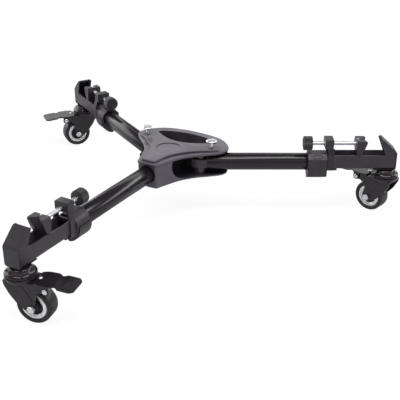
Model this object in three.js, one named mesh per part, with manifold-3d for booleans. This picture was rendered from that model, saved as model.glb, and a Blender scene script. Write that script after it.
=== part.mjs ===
// Tripod dolly: a three-armed folding base on swivel casters that carries the feet of a tripod.
// Lengths are in millimetres and angles in degrees. Z is up and the floor is at zero.
// Each arm is drawn along its own X, outwards from the hub, with Y to its left and Z up from the axis.
import * as THREE from "three";
import { mergeVertices } from "three/addons/utils/BufferGeometryUtils.js";
import Module from "manifold-3d";

const wasm = await Module();
wasm.setup();

// Clearances
const SEAT_GAP = 0.3; // between two pieces that touch
const SLIDE_GAP = 0.3; // round a piece that slides or turns in another
const OVERRUN = 1; // how far a cut runs past the face that it starts from
const WELD_GAP = 0.001; // points closer than this are one point

// Hub
const HUB_REACH = 85; // half the width across the two rear lobes
const HUB_TOP = 15.3; // height of the housing's open top above the tube axis
const HUB_DEPTH = 22; // from the tube axis down to the hub's underside
const HUB_WALL = 3;
const RIM_OVERHANG = 1.2; // how far the cover's rim stands out over the housing
const COVER_THICKNESS = 5.2;
const PANEL_RISE = 3;
const LOCK_SETBACK = 13; // from a rear lobe's edge in to its lock pin
const LOCK_SPACING = 18; // from a folding arm's pivot out to its lock pin
const LOCK_REACH = HUB_REACH - LOCK_SETBACK; // from the hub's centre to a lock pin
const PIVOT_REACH = LOCK_REACH - LOCK_SPACING; // from the hub's centre to a folding arm's pivot

// Arms
const ARMS = [
  { name: "front", angle: -90, folds: false, heading: 12, jawShiftShare: 0 },
  { name: "left", angle: 150, folds: true, heading: 234, jawShiftShare: -0.28 },
  { name: "right", angle: 30, folds: true, heading: 167, jawShiftShare: 0 },
];
const TUBE_RADIUS = 14;
const TUBE_WALL = 1.5;
const INNER_TUBE_WALL = 1.5;
const INNER_TUBE_ROOM = 35.7; // from the fitting inside a folding arm's tube out to the inner tube
const ARM_REACH = 372.5; // from the hub's centre to the outer face of the end stop
const CLAMP_UNIT_LENGTH = 144; // from the collar's inner end to the outer face of the end stop
const COLLAR_START = ARM_REACH - CLAMP_UNIT_LENGTH;
const COLLAR_LENGTH = 31.5;
const CHANNEL_HALF_WIDTH = 13;
const CHANNEL_HEIGHT = 15; // top edge of the channel above the tube axis
const CHANNEL_DEPTH = 9; // underside of the channel below the tube axis
const CHANNEL_WALL = 2.2;
const STOP_PLATE = 2.5;
const CHANNEL_BEND = 6; // outer bend of the channel's two long lower edges
const END_BEND = 3; // bend at the channel's lower outer end

// Clamp
const SCREW_RADIUS = 3.2;
const SCREW_HEIGHT = 32; // screw axis above the tube axis
const KNOB_RADIUS = 11.4;
const KNOB_LENGTH = 14.6;
const CLAMP_TOP = 41; // top of the screw block above the tube axis
const JAW_TOP = 39.5;
const STOP_TOP = 42.3;
const JAW_SETBACK = 67; // from the jaw's inner face out to the outer face of the end stop
const JAW_BACK = ARM_REACH - JAW_SETBACK;
const JAW_LENGTH = 18;

// Casters
const SWIVEL_SETBACK = 14; // from the outer face of the end stop in to a caster's swivel axis
const SWIVEL_REACH = ARM_REACH - SWIVEL_SETBACK;
const FLOOR_DEPTH = 91; // from the tube axis down to the floor
const WHEEL_RADIUS = 25.4;
const TYRE_HALF_WIDTH = 12;
const TRAIL = 20; // from the swivel axis to the axle, level
const RACE_RADIUS = 22;
const FORK_PLATE = 2.2;
const AXLE_RADIUS = 3;

// Steps round a full circle
const ROUND_STEPS = 18;
const SMALL_ROUND_STEPS = 12;

const radians = THREE.MathUtils.degToRad;

// Finishes
const finishes = {
  satinBlack: { color: 0x2b292d, roughness: 0.45, metalness: 0.1 },
  paintedMetal: { color: 0x37343a, roughness: 0.5, metalness: 0.3 },
  glossBlack: { color: 0x141416, roughness: 0.2, metalness: 0.6 },
  plastic: { color: 0x242326, roughness: 0.6, metalness: 0 },
  plated: { color: 0xc9cbd0, roughness: 0.25, metalness: 1 },
  paleRim: { color: 0xe4e4e6, roughness: 0.4, metalness: 0 },
  rubber: { color: 0x1c1c1e, roughness: 0.75, metalness: 0 },
};

function named(name, geometry, finish) {
  const mesh = new THREE.Mesh(geometry, new THREE.MeshStandardMaterial(finishes[finish]));
  mesh.name = name;
  return mesh;
}

// Joining and cutting

function solidOf(geometry) {
  const bare = geometry.clone();
  bare.deleteAttribute("normal");
  bare.deleteAttribute("uv");
  const welded = mergeVertices(bare, WELD_GAP);
  return new wasm.Manifold(
    new wasm.Mesh({
      numProp: 3,
      vertProperties: welded.attributes.position.array,
      triVerts: new Uint32Array(welded.index.array),
    }),
  );
}

function geometryOf(solid) {
  const mesh = solid.getMesh();
  const geometry = new THREE.BufferGeometry();
  geometry.setAttribute("position", new THREE.BufferAttribute(mesh.vertProperties, mesh.numProp));
  geometry.setIndex(new THREE.BufferAttribute(mesh.triVerts, 1));
  const faceted = geometry.toNonIndexed();
  faceted.computeVertexNormals();
  return faceted;
}

function join(...pieces) {
  return geometryOf(pieces.map(solidOf).reduce((whole, piece) => whole.add(piece)));
}

function cut(piece, ...tools) {
  return geometryOf(tools.map(solidOf).reduce((rest, tool) => rest.subtract(tool), solidOf(piece)));
}

function common(piece, other) {
  return geometryOf(solidOf(piece).intersect(solidOf(other)));
}

// Outlines

function straight(points) {
  return new THREE.Shape(points.map(([x, y]) => new THREE.Vector2(x, y)));
}

// A closed outline whose corners are rounded. A corner with a third value has that radius instead.
// The rounding takes less than half of either side, however short the side is.
function rounded(points, radius) {
  const shape = new THREE.Shape();
  const mostShare = 0.45;
  points.forEach((point, i) => {
    const corner = new THREE.Vector2(point[0], point[1]);
    const [lastX, lastY] = points[(i + points.length - 1) % points.length];
    const [nextX, nextY] = points[(i + 1) % points.length];
    const back = new THREE.Vector2(lastX, lastY).sub(corner);
    const ahead = new THREE.Vector2(nextX, nextY).sub(corner);
    const reach = Math.min(point[2] ?? radius, mostShare * back.length(), mostShare * ahead.length());
    const start = corner.clone().add(back.setLength(reach));
    const end = corner.clone().add(ahead.setLength(reach));
    if (i === 0) shape.moveTo(start.x, start.y);
    else shape.lineTo(start.x, start.y);
    shape.quadraticCurveTo(corner.x, corner.y, end.x, end.y);
  });
  shape.closePath();
  return shape;
}

function mirrored(halfPoints) {
  const other = halfPoints
    .filter(([x]) => x > 0)
    .map(([x, y]) => [-x, y])
    .reverse();
  return [...halfPoints, ...other];
}

// Moves each point of a closed outline inwards and leaves out those that end up too near its edge.
// The points run anticlockwise.
function inset(points, distance) {
  const moved = points.map(([x, y], i) => {
    const [ax, ay] = points[(i + points.length - 1) % points.length];
    const [bx, by] = points[(i + 1) % points.length];
    const run = new THREE.Vector2(bx - ax, by - ay).normalize();
    return [x - run.y * distance, y + run.x * distance];
  });
  const nearShare = 0.995;
  return moved.filter(([x, y]) =>
    points.every(([px, py]) => Math.hypot(x - px, y - py) > nearShare * distance),
  );
}

// Solids from outlines

function extruded(shape, depth, steps = 4) {
  return new THREE.ExtrudeGeometry(shape, { depth, bevelEnabled: false, curveSegments: steps });
}

// An outline in X and Y that stands between two heights.
function standing(shape, low, high, steps) {
  return extruded(shape, high - low, steps).translate(0, 0, low);
}

// An outline in X and Z that lies across between two places on Y.
function across(shape, right, left, steps) {
  return extruded(shape, left - right, steps)
    .rotateX(Math.PI / 2)
    .translate(0, left, 0);
}

// An outline in Y and Z that runs along X between two places.
function along(shape, from, to, steps) {
  const turn = new THREE.Matrix4().makeBasis(
    new THREE.Vector3(0, 1, 0),
    new THREE.Vector3(0, 0, 1),
    new THREE.Vector3(1, 0, 0),
  );
  return extruded(shape, to - from, steps).applyMatrix4(turn).translate(from, 0, 0);
}

function block(from, to, right, left, low, high) {
  return new THREE.BoxGeometry(to - from, left - right, high - low).translate(
    (from + to) / 2,
    (right + left) / 2,
    (low + high) / 2,
  );
}

function uprightBar(radius, low, high, steps = SMALL_ROUND_STEPS) {
  return new THREE.CylinderGeometry(radius, radius, high - low, steps)
    .rotateX(Math.PI / 2)
    .translate(0, 0, (low + high) / 2);
}

function lengthBar(radius, from, to, steps = ROUND_STEPS) {
  return new THREE.CylinderGeometry(radius, radius, to - from, steps)
    .rotateZ(-Math.PI / 2)
    .translate((from + to) / 2, 0, 0);
}

function crossBar(radius, right, left, steps = SMALL_ROUND_STEPS) {
  return new THREE.CylinderGeometry(radius, radius, left - right, steps).translate(0, (right + left) / 2, 0);
}

// A profile of radius and height, turned about Z. It runs anticlockwise, or up from the axis to the axis.
function turned(profile, steps = ROUND_STEPS) {
  const points = profile.map(([radius, height]) => new THREE.Vector2(radius, height));
  return new THREE.LatheGeometry(points, steps).rotateX(Math.PI / 2);
}

// The same about Y.
function turnedAcross(profile, steps = ROUND_STEPS) {
  const points = profile.map(([radius, height]) => new THREE.Vector2(radius, height));
  return new THREE.LatheGeometry(points, steps);
}

function pipe(outer, inner, from, to) {
  return cut(lengthBar(outer, from, to), lengthBar(inner, from - OVERRUN, to + OVERRUN));
}

// Hub

// Half of the hub's plan as shares of its reach: the front lobe's flat end, the drawn-in waist,
// a rear lobe and the bowed back edge.
const HUB_FRONT_SHARES = [
  [0, -0.735],
  [0.165, -0.733],
];
const HUB_SIDE_SHARES = [
  [0.165, -0.733],
  [0.207, -0.713],
  [0.229, -0.665],
  [0.3, -0.459],
  [0.412, -0.188],
  [0.588, 0.053],
  [0.776, 0.229],
  [0.941, 0.394],
  [1, 0.529],
  [0.976, 0.665],
  [0.871, 0.818],
  [0.688, 0.971],
  [0.482, 1.047],
  [0.235, 1.088],
  [0, 1.1],
];
const HUB_SIDE_STEPS = 26;

// The carry slot: half of its front edge and of its back edge.
const SLOT_END_SHARES = [0.67, 0.72];
const SLOT_FRONT_SHARE = 0.42;
const SLOT_BACK_SHARE = 0.935;

// The raised panel on the cover: front end, sides and the end round each lock pin.
const PANEL_SHARES = [
  [0, -0.68],
  [0.118, -0.672],
  [0.155, -0.635],
  [0.2, -0.36],
  [0.33, -0.09],
  [0.52, 0.118],
  [0.72, 0.275],
  [0.845, 0.35],
  [0.885, 0.43],
  [0.785, 0.6],
];

// Behind this line the housing is solid round the carry slot.
const SLOT_WALL_SHARES = [
  [0, 0.382],
  [0.2, 0.405],
  [0.4, 0.487],
  [0.56, 0.578],
  [0.7, 0.628],
  [1.15, 0.874],
];

// A side window's outline in Y and Z, as shares of the hub's reach and of the housing's height.
const WINDOW_SHARES = [
  [-0.34, 0.98],
  [-0.36, 0.7],
  [-0.33, 0.4],
  [-0.26, 0.16],
  [-0.12, 0.0],
  [1.2, 0.0],
  [1.2, 1.1],
  [-0.31, 1.1],
];
const WINDOW_INNER_SHARE = 0.2; // where the cut starts on X

const PIVOT_BOLT_RADIUS = 4;
const PIVOT_BOSS_RADIUS = 9;
const FITTING_HALF_HEIGHT = 7;
const FITTING_HALF_WIDTH = 12;
const FITTING_LENGTH = 10.7; // from the pivot out to the tube's end
const FITTING_SPIGOT = 27; // how far the fitting runs into the tube
const FITTING_NOSE = 14.3; // from the pivot to the fitting's round inner end
const SOCKET_START = 27; // where the front arm's socket begins
const SOCKET_HALF_WIDTH = 17;
const SOCKET_RECESS = 2.2;
const PIN_TIP_RADIUS = 3;
const PIN_STEM_RADIUS = 2.3;
const PIN_HEAD_RADIUS = 9;
const PIN_HEAD_THICKNESS = 4;
const PIN_TIP_END_SHARE = 0.8; // width of the tip's chamfered end

// The pin's mushroom head: shares of its radius and of its thickness, up from the stem.
const PIN_HEAD_SHARES = [
  [0.6, 0],
  [1, 0.25],
  [1, 0.5],
  [0.85, 0.8],
  [0.5, 1],
  [0, 1],
];
const PIN_TRAVEL = 8.5;
const BUSH_RADIUS = 5;
const BUSH_RISE = 0.8;
const MEDALLION_RADIUS = 20;
const MEDALLION_DEPTH = 0.5;
const MEDALLION_BACK = 3;
const RIM_ROUNDING = 1.8;

const COVER_TOP = HUB_TOP + COVER_THICKNESS;
const PANEL_TOP = COVER_TOP + PANEL_RISE;
const BUSH_TOP = PANEL_TOP + BUSH_RISE;
const CAVITY_FLOOR = HUB_WALL - HUB_DEPTH;
const BOSS_TOP = -FITTING_HALF_HEIGHT - SLIDE_GAP;

function scaled(shares, size) {
  return shares.map(([x, y]) => [x * size, y * size]);
}

function hubOutline() {
  const side = new THREE.SplineCurve(
    scaled(HUB_SIDE_SHARES, HUB_REACH).map(([x, y]) => new THREE.Vector2(x, y)),
  );
  const points = side.getPoints(HUB_SIDE_STEPS).map(({ x, y }) => [x, y]);
  return mirrored([...scaled(HUB_FRONT_SHARES, HUB_REACH).slice(0, 1), ...points]);
}

function slotShape(margin) {
  const endX = SLOT_END_SHARES[0] * HUB_REACH;
  const endY = SLOT_END_SHARES[1] * HUB_REACH;
  const frontY = SLOT_FRONT_SHARE * HUB_REACH;
  const backY = SLOT_BACK_SHARE * HUB_REACH;
  const shape = new THREE.Shape();
  shape.moveTo(-endX - margin, endY);
  shape.quadraticCurveTo(-endX / 2, frontY - margin, 0, frontY - margin);
  shape.quadraticCurveTo(endX / 2, frontY - margin, endX + margin, endY);
  shape.bezierCurveTo(endX, (endY + backY) / 2, endX / 2, backY + margin, 0, backY + margin);
  shape.bezierCurveTo(-endX / 2, backY + margin, -endX, (endY + backY) / 2, -endX - margin, endY);
  return shape;
}

// Everything behind the slot's front wall and beside the folding arms.
function rearZone(low, high) {
  const front = mirrored(scaled(SLOT_WALL_SHARES, HUB_REACH));
  const half = front.filter(([x]) => x >= 0);
  const other = front.filter(([x]) => x < 0);
  const rear = 2 * HUB_REACH;
  const last = half[half.length - 1];
  const points = [...other, ...half, [last[0], rear], [-last[0], rear]];
  return standing(straight(points), low, high);
}

function polar(reach, angle) {
  return [reach * Math.cos(radians(angle)), reach * Math.sin(radians(angle))];
}

function atEachPivot(make, reach) {
  return ARMS.filter((arm) => arm.folds).map((arm) => {
    const [x, y] = polar(reach, arm.angle);
    return make().translate(x, y, 0);
  });
}

function windowCut() {
  const height = HUB_TOP - CAVITY_FLOOR;
  const outline = WINDOW_SHARES.map(([y, z]) => [y * HUB_REACH, CAVITY_FLOOR + z * height]);
  const inner = WINDOW_INNER_SHARE * HUB_REACH;
  const outer = 2 * HUB_REACH;
  const rear = rearZone(-2 * HUB_DEPTH, 2 * HUB_DEPTH);
  const right = cut(along(rounded(outline, HUB_WALL), inner, outer), rear);
  const left = cut(along(rounded(outline, HUB_WALL), -outer, -inner), rear);
  return [right, left];
}

function hubHousing() {
  const outer = inset(hubOutline(), RIM_OVERHANG);
  const inner = inset(hubOutline(), RIM_OVERHANG + HUB_WALL);
  const shell = standing(straight(outer), -HUB_DEPTH, HUB_TOP);
  const cavity = cut(
    standing(straight(inner), CAVITY_FLOOR, HUB_TOP + OVERRUN),
    rearZone(-2 * HUB_DEPTH, 2 * HUB_DEPTH),
  );
  const lobe = HUB_REACH;
  const socket = common(
    block(-SOCKET_HALF_WIDTH, SOCKET_HALF_WIDTH, -lobe, -SOCKET_START, -HUB_DEPTH, HUB_TOP),
    shell,
  );
  const bosses = atEachPivot(
    () => uprightBar(PIVOT_BOSS_RADIUS, -HUB_DEPTH, BOSS_TOP),
    PIVOT_REACH,
  );
  const body = join(cut(shell, cavity, ...windowCut()), socket, ...bosses);
  const bore = lengthBar(TUBE_RADIUS + SEAT_GAP, SOCKET_START - OVERRUN, 2 * lobe).rotateZ(-Math.PI / 2);
  const frontFace = -HUB_FRONT_SHARES[0][1] * HUB_REACH;
  const recess = lengthBar(TUBE_RADIUS + SOCKET_RECESS, frontFace - 2 * HUB_WALL, 2 * lobe);
  const holes = atEachPivot(
    () => uprightBar(PIVOT_BOLT_RADIUS + SLIDE_GAP, -HUB_DEPTH - OVERRUN, BOSS_TOP + OVERRUN),
    PIVOT_REACH,
  );
  const slot = standing(slotShape(0), -HUB_DEPTH - OVERRUN, HUB_TOP + OVERRUN);
  return cut(body, bore, recess.rotateZ(-Math.PI / 2), ...holes, slot);
}

function hubCover() {
  const low = HUB_TOP + SEAT_GAP;
  const rim = new THREE.ExtrudeGeometry(straight(inset(hubOutline(), RIM_ROUNDING)), {
    depth: COVER_TOP - low - 2 * RIM_ROUNDING,
    bevelSize: RIM_ROUNDING,
    bevelThickness: RIM_ROUNDING,
    bevelSegments: 2,
  }).translate(0, 0, low + RIM_ROUNDING);
  const panelSide = new THREE.SplineCurve(
    scaled(PANEL_SHARES, HUB_REACH).map(([x, y]) => new THREE.Vector2(x, y)),
  );
  const sidePoints = panelSide.getPoints(HUB_SIDE_STEPS / 2).map(({ x, y }) => [x, y]);
  const panelPoints = mirrored(sidePoints);
  const panel = cut(
    new THREE.ExtrudeGeometry(straight(panelPoints), {
      depth: PANEL_TOP - low - RIM_ROUNDING,
      bevelSize: RIM_ROUNDING / 2,
      bevelOffset: -RIM_ROUNDING / 2,
      bevelThickness: RIM_ROUNDING / 2,
      bevelSegments: 1,
    }).translate(0, 0, low + RIM_ROUNDING / 2),
    standing(slotShape(HUB_WALL), low, PANEL_TOP + OVERRUN),
  );
  const bushes = atEachPivot(() => uprightBar(BUSH_RADIUS, low + RIM_ROUNDING, BUSH_TOP), LOCK_REACH);
  const bosses = atEachPivot(
    () => uprightBar(PIVOT_BOSS_RADIUS, FITTING_HALF_HEIGHT + SLIDE_GAP, COVER_TOP),
    PIVOT_REACH,
  );
  const slot = standing(slotShape(0), low - OVERRUN, PANEL_TOP + OVERRUN);
  const body = join(cut(rim, slot), panel, ...bushes, ...bosses);
  const stems = atEachPivot(
    () => uprightBar(PIN_STEM_RADIUS + SLIDE_GAP, low - OVERRUN, BUSH_TOP + OVERRUN),
    LOCK_REACH,
  );
  const tips = atEachPivot(
    () => uprightBar(PIN_TIP_RADIUS + SLIDE_GAP, low - OVERRUN, COVER_TOP - OVERRUN),
    LOCK_REACH,
  );
  const threads = atEachPivot(
    () => uprightBar(PIVOT_BOLT_RADIUS + SEAT_GAP, 0, COVER_TOP - RIM_ROUNDING / 2),
    PIVOT_REACH,
  );
  const medallion = uprightBar(
    MEDALLION_RADIUS,
    PANEL_TOP - MEDALLION_DEPTH,
    PANEL_TOP + OVERRUN,
    ROUND_STEPS,
  ).translate(0, MEDALLION_BACK, 0);
  return cut(body, ...stems, ...tips, ...threads, medallion);
}

const BOLT_HEAD_RADIUS = 7;
const BOLT_HEAD_THICKNESS = 3.5;

// A shoulder bolt from below, its thread in the cover's boss.
function pivotBolt() {
  const under = -HUB_DEPTH - SEAT_GAP;
  const top = COVER_TOP - RIM_ROUNDING / 2 - SEAT_GAP;
  const shank = uprightBar(PIVOT_BOLT_RADIUS, under - BOLT_HEAD_THICKNESS / 2, top);
  const head = uprightBar(BOLT_HEAD_RADIUS, under - BOLT_HEAD_THICKNESS, under, 6);
  return join(shank, head);
}

// The pin stands raised, its tip just above the arm's tube.
function lockPin() {
  const tipLow = TUBE_RADIUS + 2 * SEAT_GAP;
  const tipTop = COVER_TOP - OVERRUN - SEAT_GAP;
  const headLow = BUSH_TOP + PIN_TRAVEL + SLIDE_GAP + PIN_HEAD_THICKNESS / 4;
  const head = PIN_HEAD_SHARES.map(([radius, height]) => [
    radius * PIN_HEAD_RADIUS,
    headLow + height * PIN_HEAD_THICKNESS,
  ]);
  return turned(
    [
      [0, tipLow],
      [PIN_TIP_RADIUS * PIN_TIP_END_SHARE, tipLow],
      [PIN_TIP_RADIUS, tipLow + PIN_TIP_RADIUS / 4],
      [PIN_TIP_RADIUS, tipTop],
      [PIN_STEM_RADIUS, tipTop],
      [PIN_STEM_RADIUS, headLow - PIN_HEAD_THICKNESS / 4],
      ...head,
    ],
    SMALL_ROUND_STEPS,
  );
}

const FITTING_END = PIVOT_REACH + FITTING_LENGTH;

// The block that a folding arm turns on, with a round spigot that fills the tube's end.
function pivotFitting() {
  const nose = new THREE.Shape();
  nose.moveTo(0, -FITTING_HALF_WIDTH);
  nose.lineTo(FITTING_LENGTH, -FITTING_HALF_WIDTH);
  nose.lineTo(FITTING_LENGTH, FITTING_HALF_WIDTH);
  nose.lineTo(0, FITTING_HALF_WIDTH);
  nose.quadraticCurveTo(-FITTING_NOSE, FITTING_HALF_WIDTH, -FITTING_NOSE, 0);
  nose.quadraticCurveTo(-FITTING_NOSE, -FITTING_HALF_WIDTH, 0, -FITTING_HALF_WIDTH);
  const head = standing(nose, -FITTING_HALF_HEIGHT, FITTING_HALF_HEIGHT).translate(PIVOT_REACH, 0, 0);
  const spigot = lengthBar(
    TUBE_RADIUS - TUBE_WALL - SEAT_GAP,
    FITTING_END - OVERRUN,
    FITTING_END + FITTING_SPIGOT,
  );
  const pivotHole = uprightBar(
    PIVOT_BOLT_RADIUS + SLIDE_GAP,
    -FITTING_HALF_HEIGHT - OVERRUN,
    FITTING_HALF_HEIGHT + OVERRUN,
  ).translate(PIVOT_REACH, 0, 0);
  const pinHole = uprightBar(PIN_TIP_RADIUS + SLIDE_GAP, 0, TUBE_RADIUS).translate(LOCK_REACH, 0, 0);
  return cut(join(head, spigot), pivotHole, pinHole);
}

// Arm tubes and collar

const COLLAR_END = COLLAR_START + COLLAR_LENGTH;
const COLLAR_LIP = 4; // the end of the collar that closes on the inner tube
const COLLAR_WALL = 2;
const INNER_TUBE_RADIUS = TUBE_RADIUS - TUBE_WALL - SLIDE_GAP;
const COLLAR_RADIUS = TUBE_RADIUS + SEAT_GAP + COLLAR_WALL;

function armTube(arm) {
  const start = arm.folds ? FITTING_END + SEAT_GAP : SOCKET_START + SEAT_GAP;
  const tube = pipe(TUBE_RADIUS, TUBE_RADIUS - TUBE_WALL, start, COLLAR_END - COLLAR_LIP - SEAT_GAP);
  if (!arm.folds) return tube;
  return cut(tube, uprightBar(PIN_TIP_RADIUS + SLIDE_GAP, 0, 2 * TUBE_RADIUS).translate(LOCK_REACH, 0, 0));
}

const LEVER_HINGE_RADIUS = 4.4;
const LEVER_PIN_RADIUS = 1.8;
const LEVER_HINGE_SIDE = -10.5;
const LEVER_HINGE_DEPTH = 18.9;
const COLLAR_FLAT_SIDE = 17.6; // the flat face on the hinge side
const COLLAR_FLAT_TOP = 9; // where the shoulder that carries an oval plate begins
const COLLAR_SHOULDER_SIDE = 9.5;
const COLLAR_CROWN = 17.4; // the flat on top of the collar
const COLLAR_CROWN_SHARE = 0.75; // how far the crown's far edge comes towards the shoulder's
const COLLAR_SPLIT = 1.6;
const COLLAR_RIB = 1.2;
const KNUCKLE_SHARE = 0.27; // the part of the collar's length that each of its hinge ears takes

// A split clamp collar. One side is flat and carries the lever's hinge ears below.
function collar() {
  const sleeve = lengthBar(COLLAR_RADIUS, COLLAR_START, COLLAR_END);
  const flank = along(
    rounded(
      [
        [-COLLAR_FLAT_SIDE, COLLAR_FLAT_TOP],
        [-COLLAR_FLAT_SIDE, -LEVER_HINGE_DEPTH - COLLAR_RIB],
        [LEVER_HINGE_SIDE, -LEVER_HINGE_DEPTH - COLLAR_RIB],
        [LEVER_HINGE_SIDE / 2, -COLLAR_RADIUS + COLLAR_RIB],
        [LEVER_HINGE_SIDE / 2, 0],
        [COLLAR_SHOULDER_SIDE, COLLAR_SHOULDER_SIDE],
        [COLLAR_SHOULDER_SIDE * COLLAR_CROWN_SHARE, COLLAR_CROWN],
        [-COLLAR_SHOULDER_SIDE, COLLAR_CROWN],
      ],
      COLLAR_RIB,
    ),
    COLLAR_START,
    COLLAR_END,
    3,
  );
  const ears = lengthBar(LEVER_HINGE_RADIUS, COLLAR_START, COLLAR_END, SMALL_ROUND_STEPS).translate(
    0,
    LEVER_HINGE_SIDE,
    -LEVER_HINGE_DEPTH,
  );
  const rib = lengthBar(COLLAR_RADIUS + COLLAR_RIB, COLLAR_END - 3 * COLLAR_RIB, COLLAR_END - COLLAR_RIB);
  const bore = lengthBar(TUBE_RADIUS + SEAT_GAP, COLLAR_START - OVERRUN, COLLAR_END - COLLAR_LIP);
  const mouth = lengthBar(INNER_TUBE_RADIUS + SLIDE_GAP, COLLAR_START, COLLAR_END + OVERRUN);
  const earLength = KNUCKLE_SHARE * COLLAR_LENGTH;
  const knuckleRoom = block(
    COLLAR_START + earLength,
    COLLAR_END - earLength,
    LEVER_HINGE_SIDE - LEVER_HINGE_RADIUS - SLIDE_GAP,
    COLLAR_RADIUS,
    -2 * COLLAR_RADIUS,
    -LEVER_HINGE_DEPTH + LEVER_HINGE_RADIUS + SLIDE_GAP,
  );
  const knuckleCut = cut(knuckleRoom, lengthBar(TUBE_RADIUS + SEAT_GAP + COLLAR_RIB, 0, 2 * COLLAR_END));
  const pinHole = lengthBar(
    LEVER_PIN_RADIUS + SLIDE_GAP,
    COLLAR_START - OVERRUN,
    COLLAR_END + OVERRUN,
    SMALL_ROUND_STEPS,
  ).translate(0, LEVER_HINGE_SIDE, -LEVER_HINGE_DEPTH);
  const split = block(
    COLLAR_START - OVERRUN,
    COLLAR_END + OVERRUN,
    COLLAR_SPLIT,
    2 * COLLAR_SPLIT,
    -2 * COLLAR_RADIUS,
    -INNER_TUBE_RADIUS / 2,
  );
  return cut(join(sleeve, flank, ears, rib), bore, mouth, knuckleCut, pinHole, split);
}

// Outer edge of the closed lever in Y and Z, as shares of the collar's radius: from its tip on the
// far side of the tube, round below to the thick end by the hinge.
const LEVER_EDGE_SHARES = [
  [1.12, -0.02],
  [1.12, -0.28],
  [1.02, -0.7],
  [0.76, -1.13],
  [0.34, -1.5],
  [-0.08, -1.66],
  [-0.32, -1.62],
];

function collarLever() {
  const inner = COLLAR_RADIUS + SLIDE_GAP;
  const outer = new THREE.SplineCurve(
    LEVER_EDGE_SHARES.map(([y, z]) => new THREE.Vector2(y * COLLAR_RADIUS, z * COLLAR_RADIUS)),
  ).getPoints(2 * LEVER_EDGE_SHARES.length);
  const bladeStart = Math.asin(LEVER_EDGE_SHARES[0][1]);
  const earEdge = LEVER_HINGE_SIDE + LEVER_HINGE_RADIUS + SLIDE_GAP;
  const bladeEnd = -Math.PI / 2 - Math.asin(-earEdge / inner);
  const shape = new THREE.Shape(outer.reverse());
  const bladeSteps = 12;
  for (let i = 0; i <= bladeSteps; i++) {
    const angle = bladeStart + ((bladeEnd - bladeStart) * i) / bladeSteps;
    shape.lineTo(inner * Math.cos(angle), inner * Math.sin(angle));
  }
  const earLength = KNUCKLE_SHARE * COLLAR_LENGTH + SLIDE_GAP;
  const blade = along(shape, COLLAR_START, COLLAR_END - 4 * COLLAR_RIB);
  const knuckle = join(
    lengthBar(LEVER_HINGE_RADIUS, COLLAR_START + earLength, COLLAR_END - earLength, SMALL_ROUND_STEPS),
    block(
      COLLAR_START + earLength,
      COLLAR_END - earLength,
      0,
      LEVER_HINGE_RADIUS + 2 * COLLAR_RIB,
      -LEVER_HINGE_RADIUS,
      0,
    ),
    lengthBar(LEVER_PIN_RADIUS, COLLAR_START, COLLAR_END, SMALL_ROUND_STEPS),
  ).translate(0, LEVER_HINGE_SIDE, -LEVER_HINGE_DEPTH);
  return join(blade, knuckle);
}

// Screw bracket, inner tube and channel

const BRACKET_START = COLLAR_END + OVERRUN;
const BRACKET_LENGTH = 10; // width of the bracket's two cheeks
const BRACKET_WEB = 5.2;
const BRACKET_CHEEK = 1.8;
const BRACKET_FOOT = 6; // how far the bottom plate runs on under the channel
const BRACKET_BOTTOM_PLATE = 2.7;
const BLOCK_OVERHANG = 5.5; // how far the screw block stands back over the collar
const BLOCK_SETBACK = 1.8; // how far its outer face stays behind the cheeks' edge
const BLOCK_BOTTOM = 26;
const BLOCK_HALF_WIDTH = 11.5;
const BLOCK_ROUNDING = 2;
const CHEEK_HALF_WIDTH = CHANNEL_HALF_WIDTH + SEAT_GAP + BRACKET_CHEEK;
const BRACKET_END = BRACKET_START + BRACKET_LENGTH;
const BRACKET_DEPTH = CHANNEL_DEPTH + SEAT_GAP + BRACKET_BOTTOM_PLATE;

// The channel's section in Y and Z, grown by a distance and run on above its top edge.
function channelSection(growth, top) {
  const side = CHANNEL_HALF_WIDTH + growth;
  const bend = CHANNEL_BEND + growth;
  return rounded(
    [
      [-side, -CHANNEL_DEPTH - growth, bend],
      [side, -CHANNEL_DEPTH - growth, bend],
      [side, top, 0],
      [-side, top, 0],
    ],
    0,
  );
}

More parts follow.
